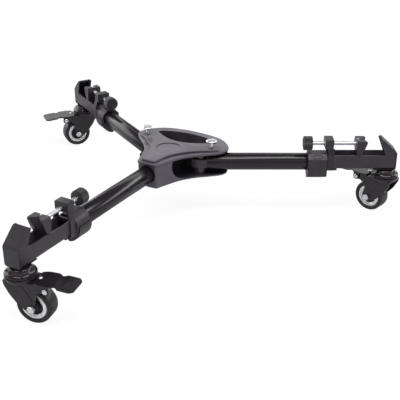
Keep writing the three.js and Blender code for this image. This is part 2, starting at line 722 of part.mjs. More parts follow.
// One casting: two cheeks beside the channel, a web with the inner tube's socket, a bottom plate
// and the threaded block that holds the clamp screw.
function screwBracket() {
  const outerEdge = [
    [-CHEEK_HALF_WIDTH, -BRACKET_DEPTH, CHANNEL_BEND],
    [CHEEK_HALF_WIDTH, -BRACKET_DEPTH, CHANNEL_BEND],
    [CHEEK_HALF_WIDTH, CHANNEL_HEIGHT],
    [BLOCK_HALF_WIDTH, BLOCK_BOTTOM],
    [BLOCK_HALF_WIDTH, CLAMP_TOP, BLOCK_ROUNDING],
    [-BLOCK_HALF_WIDTH, CLAMP_TOP, BLOCK_ROUNDING],
    [-BLOCK_HALF_WIDTH, BLOCK_BOTTOM],
    [-CHEEK_HALF_WIDTH, CHANNEL_HEIGHT],
  ];
  const outline = rounded(outerEdge, BRACKET_CHEEK / 4);
  const frame = along(outline, BRACKET_START, BRACKET_END, 2);
  const web = BRACKET_START + BRACKET_WEB;
  const inside = along(channelSection(SEAT_GAP, CHANNEL_HEIGHT + OVERRUN), web, BRACKET_END + OVERRUN, 3);
  const neck = BLOCK_HALF_WIDTH - BRACKET_CHEEK;
  const overWeb = along(
    straight([
      [-CHANNEL_HALF_WIDTH, CHANNEL_HEIGHT],
      [CHANNEL_HALF_WIDTH, CHANNEL_HEIGHT],
      [neck, BLOCK_BOTTOM],
      [-neck, BLOCK_BOTTOM],
    ]),
    BRACKET_START - OVERRUN,
    BRACKET_END + OVERRUN,
  );
  const screwBlock = common(
    block(
      BRACKET_START - BLOCK_OVERHANG,
      BRACKET_END - BLOCK_SETBACK,
      -CHEEK_HALF_WIDTH,
      CHEEK_HALF_WIDTH,
      BLOCK_BOTTOM,
      CLAMP_TOP,
    ),
    along(outline, BRACKET_START - 2 * BLOCK_OVERHANG, BRACKET_END, 2),
  );
  const front = block(
    BRACKET_END - BLOCK_SETBACK,
    BRACKET_END + OVERRUN,
    -CHEEK_HALF_WIDTH,
    CHEEK_HALF_WIDTH,
    BLOCK_BOTTOM,
    CLAMP_TOP + OVERRUN,
  );
  const foot = block(
    BRACKET_START,
    BRACKET_END + BRACKET_FOOT,
    -CHANNEL_HALF_WIDTH + CHANNEL_BEND / 2,
    CHANNEL_HALF_WIDTH - CHANNEL_BEND / 2,
    -BRACKET_DEPTH,
    -CHANNEL_DEPTH - SEAT_GAP,
  );
  const screwHole = lengthBar(
    SCREW_RADIUS + SLIDE_GAP,
    BRACKET_START - 2 * BLOCK_OVERHANG,
    BRACKET_END + OVERRUN,
    SMALL_ROUND_STEPS,
  ).translate(0, 0, SCREW_HEIGHT);
  const tubeHole = lengthBar(INNER_TUBE_RADIUS + SEAT_GAP, 0, web - HUB_WALL / 2);
  const passage = lengthBar(INNER_TUBE_RADIUS - INNER_TUBE_WALL, 0, web + OVERRUN);
  return cut(join(cut(frame, inside, overWeb, front), screwBlock, foot), screwHole, tubeHole, passage);
}

function innerTube() {
  const end = BRACKET_START + BRACKET_WEB - HUB_WALL / 2 - SEAT_GAP;
  const start = FITTING_END + FITTING_SPIGOT + INNER_TUBE_ROOM;
  return pipe(INNER_TUBE_RADIUS, INNER_TUBE_RADIUS - INNER_TUBE_WALL, start, end);
}

const CHANNEL_START = BRACKET_START + BRACKET_WEB + SEAT_GAP;
const KNEE_HEIGHT = 20; // where the end stop starts to lean back
const STOP_LEAN = 24.5; // how far its top leans back over the channel
const EAR_LENGTH = 15.7; // where the channel's side walls start to rise, back from the end
const EAR_TIP = 2; // width of such an ear at its top
const STOP_TOP_ROUND = 4;
const STOP_UNDERLAP = 35; // how far the stop's plate runs back under the channel
const CHANNEL_END = ARM_REACH - STOP_PLATE - SEAT_GAP;

// The knee and the top of the end stop's outer face, moved inwards by a distance.
function stopFace(distance) {
  const rise = STOP_TOP - KNEE_HEIGHT;
  const slant = Math.hypot(STOP_LEAN, rise);
  const drop = (distance * (slant - rise)) / STOP_LEAN;
  return [
    [ARM_REACH - distance, KNEE_HEIGHT - drop],
    [ARM_REACH - STOP_LEAN - (distance * rise) / slant, STOP_TOP - (distance * STOP_LEAN) / slant],
  ];
}

// An open channel pressed from plate. Its side walls rise into two ears that back the end stop.
function footChannel() {
  const [knee, top] = stopFace(STOP_PLATE + SEAT_GAP);
  const side = rounded(
    [
      [CHANNEL_START, -CHANNEL_DEPTH],
      [CHANNEL_END, -CHANNEL_DEPTH, END_BEND],
      knee,
      top,
      [top[0] - EAR_TIP, top[1]],
      [CHANNEL_END - EAR_LENGTH, CHANNEL_HEIGHT],
      [CHANNEL_START, CHANNEL_HEIGHT],
    ],
    CHANNEL_WALL / 4,
  );
  const whole = common(
    across(side, -CHANNEL_HALF_WIDTH, CHANNEL_HALF_WIDTH, 3),
    along(channelSection(0, STOP_TOP), CHANNEL_START - OVERRUN, ARM_REACH, 3),
  );
  const start = CHANNEL_START - OVERRUN;
  return cut(whole, along(channelSection(-CHANNEL_WALL, 2 * STOP_TOP), start, ARM_REACH, 3));
}

// A strip of plate bent twice: under the channel, up its end and back over it.
function endStop() {
  const low = -CHANNEL_DEPTH - SEAT_GAP;
  const [innerKnee, innerTop] = stopFace(STOP_PLATE);
  const strip = rounded(
    [
      [ARM_REACH - STOP_UNDERLAP, low],
      [ARM_REACH - STOP_UNDERLAP, low - STOP_PLATE],
      [ARM_REACH, low - STOP_PLATE, END_BEND + SEAT_GAP + STOP_PLATE],
      [ARM_REACH, KNEE_HEIGHT, STOP_PLATE],
      [ARM_REACH - STOP_LEAN, STOP_TOP],
      innerTop,
      [...innerKnee, STOP_PLATE / 2],
      [innerKnee[0], low, END_BEND + SEAT_GAP],
    ],
    STOP_PLATE / 8,
  );
  const bent = across(strip, -CHANNEL_HALF_WIDTH, CHANNEL_HALF_WIDTH, 3);
  const front = rounded(
    [
      [-CHANNEL_HALF_WIDTH, low - STOP_PLATE, CHANNEL_BEND],
      [CHANNEL_HALF_WIDTH, low - STOP_PLATE, CHANNEL_BEND],
      [CHANNEL_HALF_WIDTH, STOP_TOP, STOP_TOP_ROUND],
      [-CHANNEL_HALF_WIDTH, STOP_TOP, STOP_TOP_ROUND],
    ],
    0,
  );
  return common(bent, along(front, 0, 2 * ARM_REACH, 4));
}

// Clamp screw, knob and jaw

const KNOB_OVERHANG = 7.5; // how far the knob stands back past the collar's inner end
const KNOB_START = COLLAR_START - KNOB_OVERHANG;
const KNOB_FLUTES = 22;
const FLUTE_DEPTH = 0.7;
const SCREW_SOCKET = 6; // how far the screw's end sits in the knob and in the jaw
const JAW_NOTCH = 9.5; // depth of the jaw's V
const JAW_NOTCH_HALF_WIDTH = 10;
const JAW_TONGUE_DEPTH = 12; // how far the guide reaches down into the channel

function clampScrew() {
  return lengthBar(
    SCREW_RADIUS,
    KNOB_START + KNOB_LENGTH - SCREW_SOCKET + SEAT_GAP,
    JAW_BACK + SCREW_SOCKET - SEAT_GAP,
    SMALL_ROUND_STEPS,
  ).translate(0, 0, SCREW_HEIGHT);
}

function knob() {
  const points = [];
  for (let i = 0; i < KNOB_FLUTES; i++) {
    const depths = [0, FLUTE_DEPTH];
    depths.forEach((depth, k) => {
      const angle = ((i + k / depths.length) / KNOB_FLUTES) * 2 * Math.PI;
      points.push([(KNOB_RADIUS - depth) * Math.cos(angle), (KNOB_RADIUS - depth) * Math.sin(angle)]);
    });
  }
  const grip = along(straight(points), KNOB_START, KNOB_START + KNOB_LENGTH);
  const socket = lengthBar(
    SCREW_RADIUS + SEAT_GAP,
    KNOB_START + KNOB_LENGTH - SCREW_SOCKET,
    KNOB_START + KNOB_LENGTH + OVERRUN,
    SMALL_ROUND_STEPS,
  );
  return cut(grip, socket).translate(0, 0, SCREW_HEIGHT);
}

// A V-block that rests on the channel's edges, with a guide between its walls.
function jaw() {
  const low = CHANNEL_HEIGHT + SEAT_GAP;
  const front = JAW_BACK + JAW_LENGTH;
  const top = JAW_TOP;
  const lean = JAW_LENGTH / 4;
  const profile = rounded(
    [
      [JAW_BACK + lean / 2, low],
      [front - 2 * lean, low],
      [front - lean, low + 2 * lean],
      [front, top - lean / 2],
      [front - lean / 2, top],
      [JAW_BACK + lean / 4, top],
      [JAW_BACK, top - 2 * lean],
    ],
    OVERRUN / 2,
  );
  const body = across(profile, -CHANNEL_HALF_WIDTH, CHANNEL_HALF_WIDTH, 2);
  const notch = straight([
    [front - JAW_NOTCH, 0],
    [front + OVERRUN, -JAW_NOTCH_HALF_WIDTH - OVERRUN],
    [front + OVERRUN, JAW_NOTCH_HALF_WIDTH + OVERRUN],
  ]);
  const tongueSide = CHANNEL_HALF_WIDTH - CHANNEL_WALL - SLIDE_GAP;
  const tongue = block(
    JAW_BACK + lean / 2,
    front - 2 * lean,
    -tongueSide,
    tongueSide,
    CHANNEL_HEIGHT - JAW_TONGUE_DEPTH,
    low + OVERRUN,
  );
  const socket = lengthBar(
    SCREW_RADIUS + SLIDE_GAP,
    JAW_BACK - OVERRUN,
    JAW_BACK + SCREW_SOCKET,
    SMALL_ROUND_STEPS,
  ).translate(0, 0, SCREW_HEIGHT);
  return join(cut(body, standing(notch, low - OVERRUN, top + OVERRUN), socket), tongue);
}

// Caster, drawn on its swivel axis with X towards the axle

const CAP_TOP = -CHANNEL_DEPTH - 2 * SEAT_GAP - STOP_PLATE;
const RACE_TOP = -20; // where the upper race reaches its full radius
const RACE_THICKNESS = 2.9;
const RACE_CAP_SHARE = 0.6; // radius of the race's flat cap
const KINGPIN_RADIUS = 5;
const KINGPIN_HEAD_RADIUS = 8;
const KINGPIN_HEAD = 2;
const LOWER_RACE_HEIGHT = 7;
const BRIDGE_BACK = 19; // from the swivel axis to the fork's back edge
const BRIDGE_FRONT = 34;
const BRIDGE_THICKNESS = 2.5;
const FORK_GAP = 1.2; // between the tyre and a fork leg
const AXLE_BOSS_RADIUS = 8;
const AXLE_HEAD_RADIUS = 5.6;
const AXLE_HEAD_LENGTH = 4.8;
const BRAKE_PIN_REACH = 43;
const BRAKE_PIN_DEPTH = 34;
const BRAKE_PIN_RADIUS = 2;
const BRAKE_PIN_HEAD_RADIUS = 3.6;
const BRAKE_PIN_HEAD = 1.7;
const BRAKE_EAR_RADIUS = 5;
const PEDAL_PLATE = 2.4;
const PEDAL_LEAF_HALF_WIDTH = 17.5;
const PEDAL_NECK_HALF_WIDTH = 12.5;
const PEDAL_REACH = 82;
const PEDAL_NECK_REACH = 55;
const PEDAL_DROP = 2;
const PEDAL_BACK_SHARE = 0.8; // width of the pedal's edge beside the race, of its full width

const AXLE_DEPTH = FLOOR_DEPTH - WHEEL_RADIUS;
const LEG_INSIDE = TYRE_HALF_WIDTH + FORK_GAP;
const LEG_OUTSIDE = LEG_INSIDE + FORK_PLATE;
const FORK_TOP = RACE_TOP - RACE_THICKNESS - SLIDE_GAP - SEAT_GAP;
const FORK_BOTTOM = FORK_TOP - LOWER_RACE_HEIGHT - SEAT_GAP;
const BRIDGE_TOP = FORK_BOTTOM + BRIDGE_THICKNESS;

// The upper race, fixed under the end stop, with the kingpin that holds the fork.
function casterRace() {
  const under = RACE_TOP - RACE_THICKNESS;
  const step = RACE_THICKNESS / 4;
  return turned([
    [0, FORK_BOTTOM - SLIDE_GAP - KINGPIN_HEAD],
    [KINGPIN_HEAD_RADIUS, FORK_BOTTOM - SLIDE_GAP - KINGPIN_HEAD],
    [KINGPIN_HEAD_RADIUS, FORK_BOTTOM - SLIDE_GAP],
    [KINGPIN_RADIUS, FORK_BOTTOM - SLIDE_GAP],
    [KINGPIN_RADIUS, under],
    [RACE_RADIUS - 2 * step, under],
    [RACE_RADIUS, under + step],
    [RACE_RADIUS, RACE_TOP - step],
    [RACE_RADIUS - step, RACE_TOP],
    [(RACE_RADIUS * 2) / 3, (RACE_TOP + CAP_TOP) / 2],
    [RACE_RADIUS * RACE_CAP_SHARE, CAP_TOP],
    [0, CAP_TOP],
  ]);
}

// A leg's rear edge in X and Z, as shares of the way from the bridge's back to the axle.
const LEG_REAR_SHARES = [
  [0, 0],
  [0.02, 0.14],
  [0.2, 0.52],
  [0.43, 0.84],
  [0.72, 1.12],
];

// Its lower end round the axle, as shares of the axle boss's radius from the axle.
const LEG_END_SHARES = [
  [-0.33, -1],
  [0.6, -0.7],
  [0.8, 0.5],
];

function forkLeg(inside) {
  const boss = AXLE_BOSS_RADIUS;
  const fall = FORK_BOTTOM + AXLE_DEPTH;
  const rear = LEG_REAR_SHARES.map(([x, z]) => [
    -BRIDGE_BACK + x * (TRAIL + BRIDGE_BACK),
    FORK_BOTTOM - z * fall,
  ]);
  const end = LEG_END_SHARES.map(([x, z]) => [TRAIL + x * boss, -AXLE_DEPTH + z * boss]);
  const leg = rounded(
    [
      ...rear,
      ...end,
      [end[end.length - 1][0], -BRAKE_PIN_DEPTH - 2 * BRAKE_EAR_RADIUS],
      [BRAKE_PIN_REACH - 2 * BRAKE_EAR_RADIUS, -BRAKE_PIN_DEPTH - BRAKE_EAR_RADIUS],
      [BRAKE_PIN_REACH + BRAKE_EAR_RADIUS, -BRAKE_PIN_DEPTH - BRAKE_EAR_RADIUS],
      [BRAKE_PIN_REACH + BRAKE_EAR_RADIUS, -BRAKE_PIN_DEPTH + BRAKE_EAR_RADIUS / 2],
      [BRIDGE_FRONT, BRIDGE_TOP],
      [-BRIDGE_BACK, BRIDGE_TOP],
    ],
    FORK_PLATE,
  );
  return across(leg, inside, inside + FORK_PLATE, 1);
}

// The lower race and the pressed fork, one welded piece.
function casterFork() {
  const step = RACE_THICKNESS / 4;
  const race = turned([
    [0, FORK_BOTTOM],
    [RACE_RADIUS - 3 * step, FORK_BOTTOM],
    [RACE_RADIUS, FORK_BOTTOM + LOWER_RACE_HEIGHT / 2],
    [RACE_RADIUS, FORK_TOP - step],
    [RACE_RADIUS - 2 * step, FORK_TOP],
    [0, FORK_TOP],
  ]);
  const bridge = standing(
    rounded(
      [
        [-BRIDGE_BACK, -LEG_OUTSIDE],
        [BRIDGE_FRONT, -LEG_OUTSIDE],
        [BRIDGE_FRONT, LEG_OUTSIDE],
        [-BRIDGE_BACK, LEG_OUTSIDE],
      ],
      FORK_PLATE,
    ),
    FORK_BOTTOM,
    BRIDGE_TOP,
    2,
  );
  const kingpinHole = uprightBar(KINGPIN_RADIUS + SLIDE_GAP, FORK_BOTTOM - OVERRUN, FORK_TOP + OVERRUN);
  const axleHole = crossBar(AXLE_RADIUS + SEAT_GAP, -2 * LEG_OUTSIDE, 2 * LEG_OUTSIDE);
  const brakeHole = crossBar(BRAKE_PIN_RADIUS + SEAT_GAP, -2 * LEG_OUTSIDE, 2 * LEG_OUTSIDE);
  return cut(
    join(race, bridge, forkLeg(LEG_INSIDE), forkLeg(-LEG_OUTSIDE)),
    kingpinHole,
    axleHole.translate(TRAIL, 0, -AXLE_DEPTH),
    brakeHole.translate(BRAKE_PIN_REACH, 0, -BRAKE_PIN_DEPTH),
  );
}

// A bolt across the fork with a hexagon head and nut.
function axle() {
  const face = LEG_OUTSIDE + SEAT_GAP;
  return join(
    crossBar(AXLE_RADIUS, -face - AXLE_HEAD_LENGTH / 2, face + AXLE_HEAD_LENGTH / 2),
    crossBar(AXLE_HEAD_RADIUS, face, face + AXLE_HEAD_LENGTH, 6),
    crossBar(AXLE_HEAD_RADIUS, -face - AXLE_HEAD_LENGTH, -face, 6),
  );
}

const RIM_RADIUS = 18.5;
const RIM_RECESS_RADIUS = 12.6;
const RIM_HUB_RADIUS = 7;
const RIM_HALF_WIDTH = 10.4;
const RIM_WEB_HALF_WIDTH = 5;
const TYRE_SHOULDER = 3.4;

function wheelRim() {
  const bore = AXLE_RADIUS + SLIDE_GAP;
  const side = [
    [bore, LEG_INSIDE - SLIDE_GAP],
    [RIM_HUB_RADIUS, LEG_INSIDE - SLIDE_GAP],
    [RIM_HUB_RADIUS, RIM_WEB_HALF_WIDTH],
    [RIM_RECESS_RADIUS, RIM_WEB_HALF_WIDTH],
    [RIM_RECESS_RADIUS, RIM_HALF_WIDTH],
    [RIM_RADIUS, RIM_HALF_WIDTH],
  ];
  const other = side.map(([radius, y]) => [radius, -y]);
  return turnedAcross([...other, ...side.reverse(), other[0]]);
}

function wheelTyre() {
  const inner = RIM_RADIUS + SEAT_GAP;
  const seatWidth = RIM_HALF_WIDTH;
  const side = [
    [inner, seatWidth],
    [inner + TYRE_SHOULDER / 2, TYRE_HALF_WIDTH],
    [WHEEL_RADIUS - TYRE_SHOULDER, TYRE_HALF_WIDTH],
    [WHEEL_RADIUS - TYRE_SHOULDER / 4, TYRE_HALF_WIDTH - TYRE_SHOULDER / 2],
    [WHEEL_RADIUS, TYRE_HALF_WIDTH - TYRE_SHOULDER],
  ];
  const other = side.map(([radius, y]) => [radius, -y]);
  return turnedAcross([...other, ...side.reverse(), other[0]]);
}

// A pressed pedal with two ears that hang beside the fork on the brake pin.
function brakePedal() {
  const low = BRIDGE_TOP + SLIDE_GAP;
  const start = RACE_RADIUS + 2 * OVERRUN;
  const bend = BRAKE_PIN_REACH + 2 * BRAKE_EAR_RADIUS;
  const side = rounded(
    [
      [start, low],
      [bend, low],
      [PEDAL_REACH, low - PEDAL_DROP],
      [PEDAL_REACH, low - PEDAL_DROP + PEDAL_PLATE],
      [bend, low + PEDAL_PLATE],
      [start, low + PEDAL_PLATE],
    ],
    PEDAL_PLATE / 3,
  );
  const earOutside = LEG_OUTSIDE + SLIDE_GAP + FORK_PLATE;
  const halfPlan = [
    [start, earOutside * PEDAL_BACK_SHARE],
    [BRAKE_PIN_REACH - 2 * BRAKE_EAR_RADIUS, earOutside],
    [BRAKE_PIN_REACH + BRAKE_EAR_RADIUS, earOutside],
    [PEDAL_NECK_REACH, PEDAL_NECK_HALF_WIDTH],
    [PEDAL_NECK_REACH + BRAKE_EAR_RADIUS, PEDAL_LEAF_HALF_WIDTH],
    [PEDAL_REACH - BRAKE_EAR_RADIUS, PEDAL_LEAF_HALF_WIDTH],
    [PEDAL_REACH, PEDAL_NECK_HALF_WIDTH],
  ];
  const otherHalf = halfPlan.map(([x, y]) => [x, -y]);
  const plan = rounded([...otherHalf, ...halfPlan.reverse()], PEDAL_PLATE);
  const plate = common(
    across(side, -earOutside, earOutside, 2),
    standing(plan, low - 2 * PEDAL_DROP, low + 2 * PEDAL_DROP, 2),
  );
  const earShape = rounded(
    [
      [BRAKE_PIN_REACH - BRAKE_EAR_RADIUS, low + PEDAL_PLATE / 2],
      [BRAKE_PIN_REACH - BRAKE_EAR_RADIUS, -BRAKE_PIN_DEPTH - BRAKE_EAR_RADIUS, BRAKE_EAR_RADIUS / 2],
      [BRAKE_PIN_REACH + BRAKE_EAR_RADIUS, -BRAKE_PIN_DEPTH - BRAKE_EAR_RADIUS, BRAKE_EAR_RADIUS / 2],
      [BRAKE_PIN_REACH + BRAKE_EAR_RADIUS, low + PEDAL_PLATE / 2],
    ],
    PEDAL_PLATE / 4,
  );
  const earInside = LEG_OUTSIDE + SLIDE_GAP;
  const leftEar = across(earShape, earInside, earOutside, 2);
  const rightEar = across(earShape, -earOutside, -earInside, 2);
  const pinHole = crossBar(BRAKE_PIN_RADIUS + SLIDE_GAP, -2 * earOutside, 2 * earOutside);
  return cut(
    join(plate, leftEar, rightEar),
    pinHole.translate(BRAKE_PIN_REACH, 0, -BRAKE_PIN_DEPTH),
  );
}

function brakePin() {
  const face = LEG_OUTSIDE + SLIDE_GAP + FORK_PLATE + SLIDE_GAP;
  return join(
    crossBar(BRAKE_PIN_RADIUS, -face - BRAKE_PIN_HEAD / 2, face + BRAKE_PIN_HEAD / 2),
    crossBar(BRAKE_PIN_HEAD_RADIUS, face, face + BRAKE_PIN_HEAD),
    crossBar(BRAKE_PIN_HEAD_RADIUS, -face - BRAKE_PIN_HEAD, -face),
  );
}

// Assembly

const dolly = new THREE.Group();

dolly.add(named("hub_housing", hubHousing(), "satinBlack"));
dolly.add(named("hub_cover", hubCover(), "satinBlack"));

for (const arm of ARMS) {
  const tag = "_" + arm.name;
  const limb = new THREE.Group();
  limb.rotation.z = radians(arm.angle);
  dolly.add(limb);

  if (arm.folds) {
    const bolt = named("pivot_bolt" + tag, pivotBolt(), "plated");
    bolt.position.set(PIVOT_REACH, 0, 0);
    const pin = named("lock_pin" + tag, lockPin(), "plated");
    pin.position.set(LOCK_REACH, 0, 0);
    limb.add(bolt, pin, named("pivot_fitting" + tag, pivotFitting(), "plastic"));
  }
  limb.add(
    named("arm_tube" + tag, armTube(arm), "satinBlack"),
    named("collar" + tag, collar(), "plastic"),
    named("collar_lever" + tag, collarLever(), "plastic"),
    named("inner_tube" + tag, innerTube(), "satinBlack"),
    named("screw_bracket" + tag, screwBracket(), "paintedMetal"),
    named("foot_channel" + tag, footChannel(), "paintedMetal"),
    named("end_stop" + tag, endStop(), "paintedMetal"),
  );
  const clamp = new THREE.Group();
  clamp.position.set(arm.jawShiftShare * JAW_LENGTH, 0, 0);
  clamp.add(
    named("clamp_screw" + tag, clampScrew(), "plated"),
    named("knob" + tag, knob(), "plastic"),
    named("jaw" + tag, jaw(), "paintedMetal"),
  );
  limb.add(clamp);

  const caster = new THREE.Group();
  caster.position.set(SWIVEL_REACH, 0, 0);
  caster.rotation.z = radians(arm.heading - arm.angle);
  limb.add(caster);
  const wheel = new THREE.Group();
  wheel.position.set(TRAIL, 0, -AXLE_DEPTH);
  const pin = named("brake_pin" + tag, brakePin(), "plated");
  pin.position.set(BRAKE_PIN_REACH, 0, -BRAKE_PIN_DEPTH);
  caster.add(
    named("caster_race" + tag, casterRace(), "glossBlack"),
    named("caster_fork" + tag, casterFork(), "glossBlack"),
    named("brake_pedal" + tag, brakePedal(), "glossBlack"),
    pin,
    wheel,
  );
  wheel.add(
    named("axle" + tag, axle(), "plated"),
    named("wheel_rim" + tag, wheelRim(), "paleRim"),
    named("wheel_tyre" + tag, wheelTyre(), "rubber"),
  );
}

// The floor goes to zero and the middle of the outer box to the origin.
const box = new THREE.Box3().setFromObject(dolly);
const middle = box.getCenter(new THREE.Vector3());
dolly.position.set(-middle.x, -middle.y, -box.min.z);

const tripodDolly = new THREE.Group();
tripodDolly.add(dolly);

export default tripodDolly;
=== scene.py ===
import math

import bmesh
import bpy
from mathutils import Matrix, Vector


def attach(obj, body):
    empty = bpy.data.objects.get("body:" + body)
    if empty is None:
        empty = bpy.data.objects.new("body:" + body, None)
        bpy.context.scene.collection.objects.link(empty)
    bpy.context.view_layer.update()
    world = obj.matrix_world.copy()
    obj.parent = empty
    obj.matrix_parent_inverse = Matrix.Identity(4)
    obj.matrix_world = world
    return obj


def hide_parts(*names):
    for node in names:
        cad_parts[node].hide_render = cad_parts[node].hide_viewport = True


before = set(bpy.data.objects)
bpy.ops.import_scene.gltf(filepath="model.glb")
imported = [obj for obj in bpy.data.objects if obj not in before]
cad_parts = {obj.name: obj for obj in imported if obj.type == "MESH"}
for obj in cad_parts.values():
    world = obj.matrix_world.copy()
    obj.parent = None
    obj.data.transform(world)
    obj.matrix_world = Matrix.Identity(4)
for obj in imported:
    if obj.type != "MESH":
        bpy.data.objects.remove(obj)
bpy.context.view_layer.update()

scene = bpy.context.scene


# Camera. It looks down on the dolly from the front, a little to the right of the fixed arm.
# The photograph was taken from about 1.3 m with a long lens, so the frame is narrow.
CAMERA_PLACE = (658.7, -913.0, 606.0)
CAMERA_TARGET = (78.6, 87.0, 33.7)
CAMERA_LENS = 70.7

camera_data = bpy.data.cameras.new("camera")
camera_data.lens = CAMERA_LENS
camera = bpy.data.objects.new("camera", camera_data)
camera.location = Vector(CAMERA_PLACE) / 1000
camera.rotation_mode = "QUATERNION"
camera.rotation_quaternion = (Vector(CAMERA_TARGET) / 1000 - camera.location).to_track_quat("-Z", "Y")
scene.collection.objects.link(camera)
scene.camera = camera


# Floor and backdrop. Seamless paper, lit so brightly that the camera sees it white. It still takes
# the dolly's soft shadow, and the paint reflects it as a mid grey.
PAPER_COLOUR = "#d8d7da"
PAPER_SIZE = 16000
PAPER_FIBRE = 0.9
PAPER_RELIEF = 0.1
PAPER_RELIEF_SHARE = 0.1
PAPER_ROUGHNESS = 0.8
PAPER_GLOW_SHARE = 0.82
PAPER_GLOW = 1.1


def linear(hex_colour):
    """An sRGB hex colour as linear red, green, blue and a full alpha."""
    shares = [int(hex_colour[i : i + 2], 16) / 255 for i in (1, 3, 5)]
    return [s / 12.92 if s <= 0.04045 else ((s + 0.055) / 1.055) ** 2.4 for s in shares] + [1.0]


def add_node(tree, kind, settings=None, **sockets):
    """Adds a shader node with its settings, and gives each socket a value or another node's output.

    A socket goes by its name, with _ for a space, or by _ and its number.
    """
    made = tree.nodes.new("ShaderNode" + kind)
    for name, value in (settings or {}).items():
        setattr(made, name, value)
    for name, value in sockets.items():
        socket = made.inputs[int(name[1:]) if name[1:].isdigit() else name.replace("_", " ")]
        if isinstance(value, bpy.types.NodeSocket):
            tree.links.new(value, socket)
        else:
            socket.default_value = value
    return made


def per_mm(size):
    """The noise scale at which one bump of the pattern is this many millimetres wide."""
    return 1000 / size


def seamless_paper():
    """Matt white paper, an even ground to the eye. Its fibres are drawn coarser than real ones."""
    material = bpy.data.materials.new("seamless_paper")
    material.use_nodes = True
    tree = material.node_tree
    tree.nodes.clear()
    place = add_node(tree, "TexCoord")
    fibre = add_node(
        tree, "TexNoise", Vector=place.outputs["Object"], Scale=per_mm(PAPER_FIBRE), Detail=2.0
    )
    relief = add_node(
        tree, "Bump", Height=fibre.outputs[0], Strength=PAPER_RELIEF_SHARE, Distance=PAPER_RELIEF / 1000
    )
    colour = linear(PAPER_COLOUR)
    paper = add_node(
        tree, "BsdfDiffuse", Color=colour, Roughness=PAPER_ROUGHNESS, Normal=relief.outputs[0]
    )
    glow = add_node(tree, "Emission", Strength=PAPER_GLOW)
    seen = add_node(tree, "LightPath").outputs["Is Camera Ray"]
    share = add_node(tree, "Math", {"operation": "MULTIPLY"}, _0=seen, _1=PAPER_GLOW_SHARE)
    mixed = add_node(
        tree, "MixShader", Fac=share.outputs[0], _1=paper.outputs[0], _2=glow.outputs[0]
    )
    add_node(tree, "OutputMaterial", Surface=mixed.outputs[0])
    return material


half_paper = PAPER_SIZE / 2 / 1000
corners = [(x * half_paper, y * half_paper, 0) for x, y in ((-1, -1), (1, -1), (1, 1), (-1, 1))]
floor_mesh = bpy.data.meshes.new("floor")
floor_mesh.from_pydata(corners, [], [(0, 1, 2, 3)])
floor_mesh.materials.append(seamless_paper())
floor = bpy.data.objects.new("floor", floor_mesh)
scene.collection.objects.link(floor)


# Light. A long softbox nearly overhead gives the tubes their streak, one at the left and two at the
# back give the streaks and bright edges of the rest, and a bright band runs low round a dark room.
LAMP_DISTANCE = 3000
LAMPS = [  # name, where it stands, length, width, watts
    ("softbox_top", (0.2, -0.22, 0.95), 4200, 1140, 78.0),
    ("softbox_left", (-0.925, 0.092, 0.364), 3600, 2000, 41.0),
    ("softbox_back", (0.539, 0.722, 0.434), 3300, 675, 24.0),
    ("softbox_rear", (-0.45, 0.78, 0.44), 2400, 1200, 3.6),
]
ROOM_COLOUR = "#ffffff"
ROOM_SHADES = [  # share of the way from straight down to straight up, and how light it is there
    (0.0, 0.12), (0.22, 0.14), (0.32, 0.6), (0.45, 0.6), (0.58, 0.2), (1.0, 0.2),
]
ROOM_STRENGTH = 1.3

for name, way, length, width, watts in LAMPS:
    lamp_data = bpy.data.lights.new(name, "AREA")
    lamp_data.shape = "RECTANGLE"
    lamp_data.energy = watts
    lamp_data.size = length / 1000
    lamp_data.size_y = width / 1000
    lamp = bpy.data.objects.new(name, lamp_data)
    lamp.location = Vector(way).normalized() * LAMP_DISTANCE / 1000
    lamp.rotation_mode = "QUATERNION"
    lamp.rotation_quaternion = Vector(way).to_track_quat("Z", "Y")
    scene.collection.objects.link(lamp)

room = bpy.data.worlds.new("room")
scene.world = room
room.use_nodes = True
room_tree = room.node_tree
room_tree.nodes.clear()
room_way = add_node(room_tree, "TexCoord")
room_parts = add_node(room_tree, "SeparateXYZ", Vector=room_way.outputs["Generated"])
room_shade = add_node(room_tree, "ValToRGB", Fac=room_parts.outputs["Z"])
room_ramp = room_shade.color_ramp
while len(room_ramp.elements) < len(ROOM_SHADES):
    room_ramp.elements.new(0.5)
for stop, (height, shade) in zip(room_ramp.elements, ROOM_SHADES):
    stop.position = height
    stop.color = (shade, shade, shade, 1)
room_glow = add_node(room_tree, "Background", Color=room_shade.outputs[0], Strength=ROOM_STRENGTH)
room_white = add_node(room_tree, "Background", Color=linear(ROOM_COLOUR), Strength=1.0)
room_ray = add_node(room_tree, "LightPath").outputs["Is Camera Ray"]
room_seen = add_node(
    room_tree, "MixShader", Fac=room_ray, _1=room_glow.outputs[0], _2=room_white.outputs[0]
)
add_node(room_tree, "OutputWorld", Surface=room_seen.outputs[0])

scene.view_settings.view_transform = "Standard"


# Hub housing. A die-cast aluminium body, open at the sides so that the rear arms can swing in,
# solid round the carry slot. It is powder coated dark grey, which leaves a fine orange peel.
# Lengths here and below are millimetres from the hub's axis at the height of the tubes.
HUB_AXIS = (18.31, 84.693, 91.0)
HUB_REACH = 85
HUB_TOP = 15.3
HUB_DEPTH = 22
HUB_WALL = 3
HUB_FOOT_ROUNDING = 1.5
RIM_OVERHANG = 1.2
HUB_FRONT_SHARE = -0.735
HUB_SIDE_SHARES = [
    (0.165, -0.733), (0.207, -0.713), (0.229, -0.665), (0.3, -0.459), (0.412, -0.188),
    (0.588, 0.053), (0.776, 0.229), (0.941, 0.394), (1, 0.529), (0.976, 0.665),
    (0.871, 0.818), (0.688, 0.971), (0.482, 1.047), (0.235, 1.088), (0, 1.1),
]
SLOT_WALL_SHARES = [(0, 0.382), (0.2, 0.405), (0.4, 0.487), (0.56, 0.578), (0.7, 0.628), (1.15, 0.874)]
